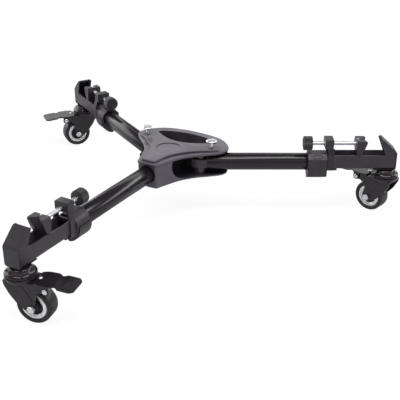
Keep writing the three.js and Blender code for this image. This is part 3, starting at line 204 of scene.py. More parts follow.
WINDOW_SHARES = [
    (-0.34, 0.98), (-0.36, 0.7), (-0.33, 0.4), (-0.26, 0.16), (-0.12, 0.0), (1.2, 0.0), (1.2, 1.1),
    (-0.31, 1.1),
]
WINDOW_INNER = 17
SLOT_END = (57, 61.2)
SLOT_FRONT = 35.7
SLOT_BACK = 79.5
PIVOT_REACH = 54
PIVOT_BOLT_RADIUS = 4
PIVOT_BOSS_RADIUS = 9
FITTING_HALF_HEIGHT = 7
TUBE_RADIUS = 14
SOCKET_START = 27
SOCKET_HALF_WIDTH = 17
SOCKET_RECESS = 0.9
REAR_ANGLES = {"left": 150, "right": 30}
GAP = 0.3  # between pieces that are seated on each other
OVERRUN = 1  # how far a cut goes past the face that it opens
BEYOND = 2 * HUB_REACH  # clear of the hub on every side
OUTLINE_STEPS = 8
SLOT_STEPS = 16
CORNER_SHARE = 0.45  # the most of a side that one rounded corner takes up
CLEAR_SHARE = 0.995
MERGE_DISTANCE = 1e-7  # in metres, within which two points are one
MOTTLE = 28  # how wide the patches are in which a finish is lighter or darker
MOTTLE_SHARES = (0.35, 0.65)
GRAIN_SHARES = (0.3, 0.7)
GLOSS_SHARES = (0.88, 1.12)  # how far the gloss varies with the grain
RELIEF_STRENGTH = 0.6
# Painted light and shade in recesses: the rays that measure how open a spot is, and the openness over
# which the painted tone fades out.
PAINTED_HOLLOW_RAYS = 12
PAINTED_HOLLOW_SHARES = (0.4, 0.95)  # how open a recess is where its own colour is full, and where it ends
COAT_ROUGHNESS = 0.12


def up(x, y, height):
    """An outline seen from above, drawn out upwards."""
    return x, y, height


def over(x, z, aside):
    """An outline seen from the side, drawn out across."""
    return x, aside, z


def out(y, z, ahead):
    """An outline seen along the arm, drawn out outwards."""
    return ahead, y, z


def spline(points, steps):
    """A smooth curve through the points, as the part's own outlines are drawn."""
    made = []
    last = len(points) - 1
    for i in range(last):
        p0, p1, p2, p3 = (Vector(points[min(max(k, 0), last)]) for k in (i - 1, i, i + 1, i + 2))
        v0, v1 = (p2 - p0) / 2, (p3 - p1) / 2
        cubic, square = 2 * p1 - 2 * p2 + v0 + v1, -3 * p1 + 3 * p2 - 2 * v0 - v1
        for step in range(steps):
            t = step / steps
            made.append(tuple(cubic * t**3 + square * t**2 + v0 * t + p1))
    return made + [tuple(points[-1])]


def bend(points, steps):
    """A Bezier curve on any number of control points, without its last point."""
    made = []
    for step in range(steps):
        level = [Vector(p) for p in points]
        while len(level) > 1:
            level = [a.lerp(b, step / steps) for a, b in zip(level, level[1:])]
        made.append(tuple(level[0]))
    return made


def mirrored(half):
    """The right half of an outline, followed by its left half."""
    return half + [(-x, y) for x, y in reversed(half) if x > 0]


def scaled(shares, size):
    """Points that are given as shares of a size."""
    return [(x * size, y * size) for x, y in shares]


def rounded(points, radius, steps=4):
    """A closed outline with rounded corners. A third value at a corner is its own radius."""
    made = []
    for i, point in enumerate(points):
        corner = Vector(point[:2])
        back = Vector(points[i - 1][:2]) - corner
        ahead = Vector(points[(i + 1) % len(points)][:2]) - corner
        own = point[2] if len(point) > 2 else radius
        reach = min(own, CORNER_SHARE * back.length, CORNER_SHARE * ahead.length)
        if reach <= 0:
            made.append(tuple(corner))
            continue
        start, end = corner + back.normalized() * reach, corner + ahead.normalized() * reach
        made += bend([start, corner, end], steps) + [tuple(end)]
    return made


def inset(points, distance):
    """The points of an anticlockwise outline, each moved inwards by a distance."""
    made = []
    for i, (x, y) in enumerate(points):
        before, after = points[i - 1], points[(i + 1) % len(points)]
        run = Vector((after[0] - before[0], after[1] - before[1])).normalized()
        made.append((x - run.y * distance, y + run.x * distance))
    return made


def clear_of(points, outline, distance):
    """The points that are no nearer to an outline's own points than a distance."""
    least = CLEAR_SHARE * distance
    return [p for p in points if all(math.dist(p, q) > least for q in outline)]


def solid(verts, faces):
    """A closed mesh from points in millimetres, with its faces turned outwards."""
    made = bpy.data.meshes.new("solid")
    made.from_pydata([Vector(v) / 1000 for v in verts], [], faces)
    work = bmesh.new()
    work.from_mesh(made)
    bmesh.ops.remove_doubles(work, verts=work.verts, dist=MERGE_DISTANCE)
    bmesh.ops.recalc_face_normals(work, faces=work.faces)
    work.to_mesh(made)
    work.free()
    return made


def lofted(rings):
    """A closed solid through rings with equal numbers of points."""
    count = len(rings[0])
    ends = count * (len(rings) - 1)
    faces = [tuple(range(count))[::-1], tuple(range(ends, ends + count))]
    for k in range(0, ends, count):
        for i in range(count):
            j = (i + 1) % count
            faces.append((k + i, k + j, k + count + j, k + count + i))
    return solid([v for ring in rings for v in ring], faces)


def stacked(points, levels, way=up):
    """A solid on an outline. Each level gives how far the outline is moved in, and its height."""
    return lofted(
        [[way(x, y, height) for x, y in inset(points, distance)] for distance, height in levels]
    )


def bar(points, low, high, way=up):
    """A solid with straight sides on an outline."""
    return stacked(points, [(0, low), (0, high)], way)


def both_sides(points, levels, way=over):
    """Steps of shaping that join the same solid at either side of the middle."""
    other = [(distance, -height) for distance, height in reversed(levels)]
    return [("join", stacked(points, levels, way)), ("join", stacked(points, other, way))]


def lower_edge(low, radius, steps=4):
    """Levels that round a solid's lower edge."""
    turn = [math.pi / 2 * k / steps for k in range(steps + 1)]
    return [(radius * (1 - math.sin(a)), low + radius * (1 - math.cos(a))) for a in turn]


def circle(radius, steps=48, middle=(0, 0)):
    """A round outline of a number of points."""
    turn = [2 * math.pi * k / steps for k in range(steps)]
    return [(middle[0] + radius * math.cos(a), middle[1] + radius * math.sin(a)) for a in turn]


def box(x0, x1, y0, y1, z0, z1):
    """A plain block, for cutting and joining."""
    return bar([(x0, y0), (x1, y0), (x1, y1), (x0, y1)], z0, z1)


def moved(mesh, x=0, y=0):
    """A mesh pushed along and across."""
    mesh.transform(Matrix.Translation(Vector((x, y, 0)) / 1000))
    return mesh


def shaped(base, *steps, edge=0.4, rounds=2, least=40):
    """Joins and cuts solids, then rounds each edge sharper than least degrees."""
    base.shade_smooth()
    body = bpy.data.objects.new("work", base)
    scene.collection.objects.link(body)
    tools = []
    for operation, mesh in steps:
        tool = bpy.data.objects.new("tool", mesh)
        scene.collection.objects.link(tool)
        mesh.shade_smooth()
        tools.append(tool)
        change = body.modifiers.new("change", "BOOLEAN")
        change.operation = {"cut": "DIFFERENCE", "join": "UNION", "common": "INTERSECT"}[operation]
        change.object = tool
        change.solver = "EXACT"
    if edge:
        rounding = body.modifiers.new("edge", "BEVEL")
        rounding.width = edge / 1000
        rounding.segments = rounds
        rounding.limit_method = "ANGLE"
        rounding.angle_limit = math.radians(least)
        rounding.harden_normals = True
    made = bpy.data.meshes.new_from_object(body.evaluated_get(bpy.context.evaluated_depsgraph_get()))
    for used in [body, *tools]:
        bpy.data.objects.remove(used)
    return made


def polar(reach, angle):
    """The x and y of a point on an arm at an angle in degrees."""
    return reach * math.cos(math.radians(angle)), reach * math.sin(math.radians(angle))


def at_rear(operation, reach, make):
    """A step of shaping at each rear arm, at a distance from the hub's axis."""
    return [(operation, moved(make(), *polar(reach, angle))) for angle in REAR_ANGLES.values()]


def slot_outline(margin):
    """The carry slot seen from above, a margin wider all round."""
    x, y = SLOT_END
    side, middle = x + margin, (y + SLOT_BACK) / 2
    front, back = SLOT_FRONT - margin, SLOT_BACK + margin
    curves = [
        [(-side, y), (-x / 2, front), (0, front)],
        [(0, front), (x / 2, front), (side, y)],
        [(side, y), (x, middle), (x / 2, back), (0, back)],
        [(0, back), (-x / 2, back), (-x, middle), (-side, y)],
    ]
    return [point for curve in curves for point in bend(curve, SLOT_STEPS)]


def finish(
    name, dark, light, roughness, grain, relief, metallic=0.0, coat=0.0, streak=(1, 1, 1), painted_hollow_light=None
):
    """A finish with mottled colour, uneven gloss and a fine relief. Grain and relief are in mm.

    The last argument paints light and shade into recesses. It gives their width and how bright the
    colour is painted there: below one is painted shade, above one is painted light.
    """
    material = bpy.data.materials.new(name)
    material.use_nodes = True
    tree = material.node_tree
    tree.nodes.clear()
    place = add_node(tree, "TexCoord")
    drawn = add_node(tree, "Mapping", Vector=place.outputs["Object"], Scale=streak).outputs[0]
    broad = add_node(tree, "TexNoise", Vector=drawn, Scale=per_mm(MOTTLE), Detail=5.0, Roughness=0.6)
    fine = add_node(tree, "TexNoise", Vector=drawn, Scale=per_mm(grain), Detail=3.0, Roughness=0.55)
    tone = add_node(tree, "ValToRGB", Fac=broad.outputs[0])
    for stop, share, shade in zip(tone.color_ramp.elements, MOTTLE_SHARES, (dark, light)):
        stop.position = share
        stop.color = linear(shade)
    colour = tone.outputs[0]
    # Painted light and shade: an occlusion node scales the colour in recesses, darker or paler by the
    # given brightness.
    if painted_hollow_light:
        width, brightness = painted_hollow_light
        free = add_node(tree, "AmbientOcclusion", {"samples": PAINTED_HOLLOW_RAYS}, Distance=width / 1000)
        depth = add_node(
            tree, "MapRange", Value=free.outputs["AO"], To_Min=brightness, To_Max=1.0,
            From_Min=PAINTED_HOLLOW_SHARES[0], From_Max=PAINTED_HOLLOW_SHARES[1],
        )
        shaded = add_node(tree, "HueSaturation", Color=colour, Value=depth.outputs[0])
        colour = shaded.outputs[0]
    gloss = add_node(
        tree, "MapRange", Value=fine.outputs[0], From_Min=GRAIN_SHARES[0], From_Max=GRAIN_SHARES[1],
        To_Min=roughness * GLOSS_SHARES[0], To_Max=roughness * GLOSS_SHARES[1],
    )
    bump = add_node(
        tree, "Bump", Height=fine.outputs[0], Strength=RELIEF_STRENGTH, Distance=relief / 1000
    )
    shader = add_node(
        tree, "BsdfPrincipled", Base_Color=colour, Roughness=gloss.outputs[0], Metallic=metallic,
        Normal=bump.outputs[0], Coat_Weight=coat, Coat_Roughness=COAT_ROUGHNESS,
    )
    add_node(tree, "OutputMaterial", Surface=shader.outputs[0])
    return material


def hub_place(x=0.0, y=0.0):
    """Where a piece goes that is x and y off the hub's axis."""
    return Matrix.Translation((Vector(HUB_AXIS) + Vector((x, y, 0))) / 1000)


def piece(name, mesh, material, body, node=None, place=None):
    """One piece of the dolly, riding on its body and standing for the node that it replaces."""
    made = bpy.data.objects.new(name, mesh)
    scene.collection.objects.link(made)
    made.matrix_world = place or hub_place()
    if not mesh.materials:
        mesh.materials.append(material)
    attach(made, body)
    if node:
        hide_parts(node)


hub_front = HUB_FRONT_SHARE * HUB_REACH
hub_outline = mirrored([(0, hub_front)] + spline(scaled(HUB_SIDE_SHARES, HUB_REACH), OUTLINE_STEPS))
cavity_floor = HUB_WALL - HUB_DEPTH
cavity_in = RIM_OVERHANG + HUB_WALL
cavity_outline = clear_of(inset(hub_outline, cavity_in), hub_outline, cavity_in)
boss_top = -FITTING_HALF_HEIGHT - GAP

wall_right = scaled(SLOT_WALL_SHARES, HUB_REACH)
wall_left = [(-x, y) for x, y in wall_right[:0:-1]]
wall_end = wall_right[-1][0]
rear_zone = wall_left + wall_right + [(wall_end, BEYOND), (-wall_end, BEYOND)]
cavity_height = HUB_TOP - cavity_floor
window = [(y * HUB_REACH, cavity_floor + z * cavity_height) for y, z in WINDOW_SHARES]
cavity = shaped(
    bar(cavity_outline, cavity_floor, HUB_TOP + OVERRUN),
    *both_sides(rounded(window, HUB_WALL), [(0, WINDOW_INNER), (0, BEYOND)], out),
    ("cut", bar(rear_zone, -BEYOND, BEYOND)),
    ("cut", box(-SOCKET_HALF_WIDTH, SOCKET_HALF_WIDTH, -BEYOND, -SOCKET_START, -BEYOND, BEYOND)),
    *at_rear("cut", PIVOT_REACH, lambda: bar(circle(PIVOT_BOSS_RADIUS), -BEYOND, boss_top)),
    edge=0,
)
bolt_hole = circle(PIVOT_BOLT_RADIUS + GAP, 24)
housing_levels = lower_edge(-HUB_DEPTH, HUB_FOOT_ROUNDING) + [(0, HUB_TOP)]
housing_mesh = shaped(
    stacked(inset(hub_outline, RIM_OVERHANG), housing_levels),
    ("cut", cavity),
    ("cut", bar(circle(TUBE_RADIUS + GAP, 64), -BEYOND, -SOCKET_START + OVERRUN, over)),
    ("cut", bar(circle(TUBE_RADIUS + SOCKET_RECESS, 64), -BEYOND, hub_front + 2 * HUB_WALL, over)),
    *at_rear("cut", PIVOT_REACH, lambda: bar(bolt_hole, -BEYOND, boss_top + OVERRUN)),
    ("cut", bar(slot_outline(0), -BEYOND, BEYOND)),
    edge=0.7,
)
# The coat reads as a satin grey with a violet cast. Inside the windows its colour is painted nearly
# black, as painted shade in the hollows.
hub_paint = finish(
    "hub_powder_coat", "#504a55", "#58535f", 0.36, grain=1.1, relief=0.02, coat=0.3, painted_hollow_light=(60, 0.2)
)
piece("hub_shell", housing_mesh, hub_paint, "hub", "hub_housing")


# Hub cover. A second casting screwed down on the housing, with a rolled rim, a raised panel that
# runs out to each lobe, bosses for the pivot bolts and a short bush round each lock pin.
COVER_LOW = HUB_TOP + GAP
COVER_TOP = 20.5
PANEL_TOP = 23.5
RIM_ROLL = 1.8
LOCK_REACH = 72
BUSH_RADIUS = 5
BUSH_TOP = 24.3
BUSH_ROUNDING = 0.5
PIN_STEM_RADIUS = 2.3
BADGE_RADIUS = 20
BADGE_BACK = 3
BADGE_RECESS = 1.2
PANEL_SHARES = [
    (0, -0.68), (0.118, -0.672), (0.155, -0.635), (0.2, -0.36), (0.33, -0.09),
    (0.52, 0.118), (0.72, 0.275), (0.845, 0.35), (0.886, 0.43), (0.785, 0.6),
]


def upper_edge(high, radius, steps=4):
    """Levels that round a solid's upper edge."""
    return [(distance, high - height) for distance, height in reversed(lower_edge(0, radius, steps))]


def roll(low, high, radius, steps=4):
    """Levels of a solid with both its edges rounded."""
    return lower_edge(low, radius, steps) + upper_edge(high, radius, steps)


panel = shaped(
    stacked(
        mirrored(spline(scaled(PANEL_SHARES, HUB_REACH), OUTLINE_STEPS)),
        [(0, COVER_LOW + RIM_ROLL)] + upper_edge(PANEL_TOP, RIM_ROLL / 2),
    ),
    ("cut", bar(slot_outline(HUB_WALL), 0, BEYOND)),
    edge=0,
)
bush_levels = roll(COVER_LOW + OVERRUN, BUSH_TOP, BUSH_ROUNDING)
boss_levels = [(0, FITTING_HALF_HEIGHT + GAP), (0, COVER_TOP - OVERRUN)]
cover_mesh = shaped(
    stacked(hub_outline, roll(COVER_LOW, COVER_TOP, RIM_ROLL, steps=5)),
    ("join", panel),
    *at_rear("join", LOCK_REACH, lambda: stacked(circle(BUSH_RADIUS, 32), bush_levels)),
    *at_rear("join", PIVOT_REACH, lambda: stacked(circle(PIVOT_BOSS_RADIUS), boss_levels)),
    ("cut", bar(slot_outline(0), 0, BEYOND)),
    *at_rear("cut", LOCK_REACH, lambda: bar(circle(PIN_STEM_RADIUS + GAP, 24), 0, BEYOND)),
    ("cut", moved(bar(circle(BADGE_RADIUS, 64), PANEL_TOP - BADGE_RECESS, BEYOND), 0, BADGE_BACK)),
    edge=0.5,
    least=50,
)
piece("hub_lid", cover_mesh, hub_paint, "hub", "hub_cover")


# Badge disc. A thin, plain aluminium disc that is set in a shallow recess of the panel with glue.
# It is painted like the cover, so only its edge shows, as a fine ring.
BADGE_GAP = 0.35
BADGE_LEVELS = [  # in from the edge, and how deep below the panel
    (0, BADGE_RECESS), (0, 1.1), (0.25, 0.95), (1.4, 0.95), (1.7, 1),
]


def smooth(mesh, least=40):
    """Smooth shading, apart from edges sharper than least degrees."""
    mesh.shade_smooth()
    mesh.set_sharp_from_angle(angle=math.radians(least))
    return mesh


badge_levels = [(distance, PANEL_TOP - depth) for distance, depth in BADGE_LEVELS]
badge_mesh = smooth(stacked(circle(BADGE_RADIUS - BADGE_GAP, 72), badge_levels), least=50)
# The same satin grey as the panel, so that the disc hardly parts from it.
badge_paint = finish("badge_satin_paint", "#524c57", "#5a5561", 0.36, grain=1.1, relief=0.02, coat=0.3)
piece("badge_disc", moved(badge_mesh, 0, BADGE_BACK), badge_paint, "hub")


# Pivot bolts and cover screws. Turned and rolled steel, plated with zinc. The bolts come up from
# below through each rear arm's fitting into the cover, and the screws hold the cover down.
BOLT_HEAD_RADIUS = 7
BOLT_HEAD_HEIGHT = 3.5
BOLT_CHAMFER = 0.7
BOLT_TIP_DEPTH = 1.2
COVER_SCREW_PLACES = [(0, 30), (-22, -8), (22, -8)]
COVER_SCREW_RADIUS = 3.4
COVER_SCREW_HEIGHT = 1.9
COVER_SCREW_ROUNDING = 0.9
COVER_KEY = (1.6, 0.7)  # the hexagon socket's radius, and how far from the housing it ends


def rear_places(reach):
    """Where the pieces of the two rear lobes go, by side."""
    return {side: hub_place(*polar(reach, angle)) for side, angle in REAR_ANGLES.items()}


def on_sides(places, name, mesh, material, body, node=None):
    """The same piece at each side's place. A body has {} for the side, or gives a name for each."""
    for side, place in places.items():
        rides = body[side] if isinstance(body, dict) else body.format(side)
        piece(f"{name}_{side}", mesh, material, rides, node and f"{node}_{side}", place)


# Bright and faintly yellow-blue with fine turning marks, drawn three times as coarse as real ones.
zinc = finish("zinc_plated_steel", "#dcdde1", "#ecedf0", 0.3, grain=0.35, relief=0.004, metallic=1.0)
head_top = -HUB_DEPTH - GAP
head_low = head_top - BOLT_HEAD_HEIGHT
bolt_mesh = shaped(
    stacked(
        circle(BOLT_HEAD_RADIUS, 6),
        [(BOLT_CHAMFER, head_low), (0, head_low + BOLT_CHAMFER), (0, head_top)],
    ),
    ("join", bar(circle(PIVOT_BOLT_RADIUS, 32), head_low + OVERRUN, COVER_TOP - BOLT_TIP_DEPTH)),
    edge=0.2,
)
on_sides(
    rear_places(PIVOT_REACH), "pivot_bolt_steel", bolt_mesh, zinc, "hub", "pivot_bolt"
)

screw_levels = roll(-HUB_DEPTH - COVER_SCREW_HEIGHT, -HUB_DEPTH + OVERRUN / 2, COVER_SCREW_ROUNDING)
screw_head = shaped(
    stacked(circle(COVER_SCREW_RADIUS, 32), screw_levels),
    ("cut", bar(circle(COVER_KEY[0], 6), -BEYOND, -HUB_DEPTH - COVER_KEY[1])),
    edge=0.12,
)
for count, (x, y) in enumerate(COVER_SCREW_PLACES, 1):
    piece(f"cover_screw_{count}", screw_head, zinc, "hub", place=hub_place(x, y))


# Lock pins. Chromed steel pins with a mushroom head, one in each rear lobe. They stand raised and
# drop into a hole in the arm when pushed.
PIN_TIP_RADIUS = 3
PIN_TIP_LOW = TUBE_RADIUS + 2 * GAP
PIN_TIP_TOP = COVER_TOP - 1.3
PIN_HEAD_RADIUS = 9
PIN_HEAD_HEIGHT = 4
PIN_TRAVEL = 8.5
PIN_HEAD_LOW = BUSH_TOP + PIN_TRAVEL + GAP + PIN_HEAD_HEIGHT / 4
PIN_TIP_EASE = (0.6, 0.7)
PIN_STEM_END = 1.8
PIN_HEAD_SHARES = [
    (0.34, -0.25), (0.6, 0), (0.86, 0.08), (0.97, 0.22), (1, 0.38), (0.97, 0.56), (0.85, 0.78),
    (0.62, 0.93), (0.3, 1), (0, 1.02),
]


def turned(profile, way=up, steps=64):
    """A profile of radius and height turned round its axis. It closes on itself or on the axis."""
    verts, faces = [], []
    for radius, height in profile:
        verts += [way(x, y, height) for x, y in circle(radius, steps)]
    count = len(profile)
    closes = profile[0][0] > 0
    for i in range(count if closes else count - 1):
        for k in range(steps):
            j, n = (k + 1) % steps, (i + 1) % count
            faces.append((i * steps + k, i * steps + j, n * steps + j, n * steps + k))
    return solid(verts, faces)


ease_in, ease_up = PIN_TIP_EASE
pin_profile = [
    (0, PIN_TIP_LOW), (PIN_TIP_RADIUS - ease_in, PIN_TIP_LOW), (PIN_TIP_RADIUS, PIN_TIP_LOW + ease_up),
    (PIN_TIP_RADIUS, PIN_TIP_TOP), (PIN_STEM_RADIUS, PIN_TIP_TOP),
    (PIN_STEM_RADIUS, PIN_HEAD_LOW - PIN_STEM_END),
    *((r * PIN_HEAD_RADIUS, PIN_HEAD_LOW + h * PIN_HEAD_HEIGHT) for r, h in PIN_HEAD_SHARES),
]
# Chrome gives the brightest points of the dolly. Its haze is drawn coarser than the real one.
chrome = finish("chrome_plate", "#e6e7ea", "#f0f1f3", 0.28, grain=0.5, relief=0.002, metallic=1.0)
on_sides(
    rear_places(LOCK_REACH), "lock_pin_steel", smooth(turned(pin_profile)), chrome, "pin_{}",
    "lock_pin",
)


# Pivot fittings. Moulded glass-filled nylon blocks, one in the inner end of each rear tube, that
# turn on the pivot bolts. Their round nose shows in the hub's side window.
FITTING_HALF_WIDTH = 12
FITTING_LENGTH = 10.7
FITTING_NOSE = 14.3
FITTING_SPIGOT = 27
FITTING_END = PIVOT_REACH + FITTING_LENGTH
TUBE_WALL = 1.5


def arm_place(angle, ahead=0.0, turn=0.0):
    """Where a piece of an arm goes: X runs outwards along the arm, from the hub's axis."""
    along = Matrix.Rotation(math.radians(angle), 4, "Z") @ Matrix.Translation((ahead / 1000, 0, 0))
    return hub_place() @ along @ Matrix.Rotation(math.radians(turn), 4, "Z")


nose, flank = -FITTING_NOSE, FITTING_HALF_WIDTH
fitting_outline = (
    [(FITTING_LENGTH, -flank), (FITTING_LENGTH, flank)]
    + bend([(0, flank), (nose, flank), (nose, 0)], 12)
    + bend([(nose, 0), (nose, -flank), (0, -flank)], 12)
    + [(0, -flank)]
)
spigot = circle(TUBE_RADIUS - TUBE_WALL - GAP)
pin_hole = circle(PIN_TIP_RADIUS + GAP, 24)
fitting_mesh = shaped(
    moved(bar(fitting_outline, -FITTING_HALF_HEIGHT, FITTING_HALF_HEIGHT), PIVOT_REACH),
    ("join", bar(spigot, FITTING_END - OVERRUN, FITTING_END + FITTING_SPIGOT, out)),
    ("cut", moved(bar(circle(PIVOT_BOLT_RADIUS + GAP, 32), -BEYOND, BEYOND), PIVOT_REACH)),
    ("cut", moved(bar(pin_hole, 0, BEYOND), LOCK_REACH)),
    edge=0.8,
)
# A dull charcoal a little lighter than the paints. Its glass grain is drawn coarser than it is.
nylon = finish("glass_filled_nylon", "#343036", "#3c383e", 0.45, grain=0.5, relief=0.03)
fitting_places = {side: arm_place(angle) for side, angle in REAR_ANGLES.items()}
on_sides(
    fitting_places, "pivot_block", fitting_mesh, nylon, "arm_{}", "pivot_fitting"
)


# Arm tubes. Drawn aluminium tube of 28 mm, painted gloss black, with a thinner tube that slides in
# it and carries the clamp. The front one is fixed in the hub, the rear ones swing.
ARM_ANGLES = {"front": -90, "left": 150, "right": 30}
TUBE_BODIES = {"front": "hub", "left": "arm_left", "right": "arm_right"}
COLLAR_END = 260
COLLAR_LIP = 4
INNER_TUBE_RADIUS = 12.2
INNER_TUBE_START = 127.4
INNER_TUBE_END = 264.4
TUBE_EASE = 0.35


def tube(outer, start, end):
    """A tube along an arm with its four edges eased."""
    inner, ease = outer - TUBE_WALL, TUBE_EASE
    profile = [
        (inner, start + ease), (inner + ease, start), (outer - ease, start), (outer, start + ease),
        (outer, end - ease), (outer - ease, end), (inner + ease, end), (inner, end - ease),
    ]
    return smooth(turned(profile, out, steps=72), least=50)


tube_end = COLLAR_END - COLLAR_LIP - GAP
front_tube = tube(TUBE_RADIUS, SOCKET_START + GAP, tube_end)
rear_tube = shaped(
    tube(TUBE_RADIUS, FITTING_END + GAP, tube_end),
    ("cut", moved(bar(pin_hole, 0, BEYOND), LOCK_REACH)),
    edge=0,
)
inner_tube = tube(INNER_TUBE_RADIUS, INNER_TUBE_START, INNER_TUBE_END)
# Stove enamel is deep black with sharp streaks of light. Faint drawing lines run along the tube.
tube_enamel = finish(
    "gloss_black_enamel", "#150f15", "#1b141b", 0.22, grain=1.6, relief=0.004, streak=(0.08, 1, 1)
)
arm_places = {side: arm_place(angle) for side, angle in ARM_ANGLES.items()}
for side, place in arm_places.items():
    outer = front_tube if side == "front" else rear_tube
    name, body = "outer_tube_" + side, TUBE_BODIES[side]
    piece(name, outer, tube_enamel, body, "arm_tube_" + side, place)
on_sides(arm_places, "sliding_tube", inner_tube, tube_enamel, "end_{}", "inner_tube")


# Clamp collars. Moulded nylon, split below, flat on one side where the lever's ears are, with an
# oval plate on the sloping shoulder. The mould was spark eroded, so the skin is fine and dull.
COLLAR_START = 228.5
COLLAR_RADIUS = 16.3
COLLAR_EASE = 0.9
COLLAR_RIB = 1.2
COLLAR_FLAT_SIDE = 17.6
COLLAR_FLAT_TOP = 9
COLLAR_SHOULDER_SIDE = 9.5
COLLAR_CROWN = 17.4
COLLAR_CROWN_SHARE = 0.75
COLLAR_SPLIT = 1.6
HINGE_SIDE = -10.5
HINGE_DEPTH = 18.9
HINGE_RADIUS = 4.4
HINGE_PIN_RADIUS = 1.8
EAR_LENGTH = 8.5
SECTION_STEPS = 180
TINY = 1e-9


def outermost(shapes, steps):
    """The outer edge of several overlapping outlines, all of them round the same middle."""
    edge = []
    for k in range(steps):
        a = 2 * math.pi * k / steps
        way = Vector((math.cos(a), math.sin(a)))
        reach = 0.0
        for points in shapes:
            for i, p in enumerate(points):
                start, side = Vector(points[i - 1]), Vector(p) - Vector(points[i - 1])
                cross = way.x * side.y - way.y * side.x
                if abs(cross) < TINY:
                    continue
                along = (start.x * side.y - start.y * side.x) / cross
                share = (start.x * way.y - start.y * way.x) / cross
                if -TINY <= share <= 1 + TINY:
                    reach = max(reach, along)
        edge.append(tuple(way * reach))
    return edge


hinge = (HINGE_SIDE, -HINGE_DEPTH)
hinge_round = circle(HINGE_RADIUS, 32, hinge)
shoulder_bottom = -HINGE_DEPTH - COLLAR_RIB
shoulder = rounded(
    [
        (-COLLAR_FLAT_SIDE, COLLAR_FLAT_TOP), (-COLLAR_FLAT_SIDE, shoulder_bottom),
        (HINGE_SIDE, shoulder_bottom), (HINGE_SIDE / 2, -COLLAR_RADIUS + COLLAR_RIB),
        (HINGE_SIDE / 2, 0), (COLLAR_SHOULDER_SIDE, COLLAR_SHOULDER_SIDE),
        (COLLAR_SHOULDER_SIDE * COLLAR_CROWN_SHARE, COLLAR_CROWN),
        (-COLLAR_SHOULDER_SIDE, COLLAR_CROWN),
    ],
    COLLAR_RIB,
)
collar_section = outermost([circle(COLLAR_RADIUS, 96), shoulder, hinge_round], SECTION_STEPS)
knuckle_room = shaped(
    box(
        COLLAR_START + EAR_LENGTH, COLLAR_END - EAR_LENGTH,
        HINGE_SIDE - HINGE_RADIUS - GAP, COLLAR_RADIUS,
        -2 * COLLAR_RADIUS, -HINGE_DEPTH + HINGE_RADIUS + GAP,
    ),
    ("cut", bar(circle(TUBE_RADIUS + GAP + COLLAR_RIB), 0, 2 * COLLAR_END, out)),
    edge=0,
)
collar_rib = roll(COLLAR_END - 3 * COLLAR_RIB, COLLAR_END - COLLAR_RIB, COLLAR_RIB / 2)
split_low, split_top = -2 * COLLAR_RADIUS, -INNER_TUBE_RADIUS / 2
collar_mesh = shaped(
    stacked(collar_section, roll(COLLAR_START, COLLAR_END, COLLAR_EASE), out),
    ("join", stacked(circle(COLLAR_RADIUS + COLLAR_RIB, 96), collar_rib, out)),
    ("cut", bar(circle(TUBE_RADIUS + GAP, 72), COLLAR_START - OVERRUN, COLLAR_END - COLLAR_LIP, out)),
    ("cut", bar(circle(INNER_TUBE_RADIUS + GAP, 72), COLLAR_START, COLLAR_END + OVERRUN, out)),
    ("cut", knuckle_room),
    ("cut", bar(circle(HINGE_PIN_RADIUS + GAP, 24, hinge), 0, 2 * COLLAR_END, out)),
    ("cut", box(0, 2 * COLLAR_END, COLLAR_SPLIT, 2 * COLLAR_SPLIT, split_low, split_top)),
    edge=0.35,
)
# Soft black with a wide, weak sheen. The real skin's grain is near 0.1 mm and is drawn coarser.
moulded_nylon = finish("moulded_black_nylon", "#29242a", "#322c33", 0.42, grain=0.45, relief=0.03)
on_sides(
    arm_places, "clamp_collar", collar_mesh, moulded_nylon, TUBE_BODIES, "collar"
)


# Oval plates. A thin, plain plate of the same moulded nylon with a raised edge, pressed into the
# sloping shoulder of each collar.
OVAL_HALVES = (8.2, 4.1)
OVAL_PLACE = (244, -13.5, 13.2)
OVAL_TILT = 46
OVAL_LEVELS = [(0, -0.5), (0, 0.35), (0.2, 0.55), (0.7, 0.55), (0.95, 0.3), (2.4, 0.42)]
oval = [(x * OVAL_HALVES[0], y * OVAL_HALVES[1]) for x, y in circle(1)]
oval_mesh = stacked(oval, OVAL_LEVELS)
oval_turn = Matrix.Rotation(math.radians(OVAL_TILT), 4, "X")
oval_mesh.transform(Matrix.Translation(Vector(OVAL_PLACE) / 1000) @ oval_turn)
smooth(oval_mesh, least=60)
on_sides(arm_places, "oval_plate", oval_mesh, moulded_nylon, TUBE_BODIES)


# Collar levers. Moulded nylon blades that wrap under the tube and pull the collar's split shut.
# Each turns on a steel pin between the collar's ears, and ends in a thumb pad.
LEVER_EDGE_SHARES = [
    (1.12, -0.02), (1.12, -0.28), (1.02, -0.7), (0.76, -1.13), (0.34, -1.5), (-0.08, -1.66),
    (-0.32, -1.62),
]
LEVER_END = COLLAR_END - 4 * COLLAR_RIB
LEVER_STEPS = 24

lever_inner = COLLAR_RADIUS + GAP
lever_start = math.asin(LEVER_EDGE_SHARES[0][1])
lever_stop = -math.pi / 2 - math.asin(-(HINGE_SIDE + HINGE_RADIUS + GAP) / lever_inner)
lever_arc = [lever_start + (lever_stop - lever_start) * k / LEVER_STEPS for k in range(LEVER_STEPS + 1)]
lever_outline = spline(scaled(LEVER_EDGE_SHARES, COLLAR_RADIUS), steps=5)[::-1]
lever_outline += [(lever_inner * math.cos(a), lever_inner * math.sin(a)) for a in lever_arc]
knuckle_start, knuckle_end = COLLAR_START + EAR_LENGTH + GAP, COLLAR_END - EAR_LENGTH - GAP
knuckle_side = HINGE_SIDE + HINGE_RADIUS + 2 * COLLAR_RIB
knuckle_low = -HINGE_DEPTH - HINGE_RADIUS
knuckle_block = [
    (HINGE_SIDE, knuckle_low), (knuckle_side, knuckle_low), (knuckle_side, -HINGE_DEPTH), hinge,
]
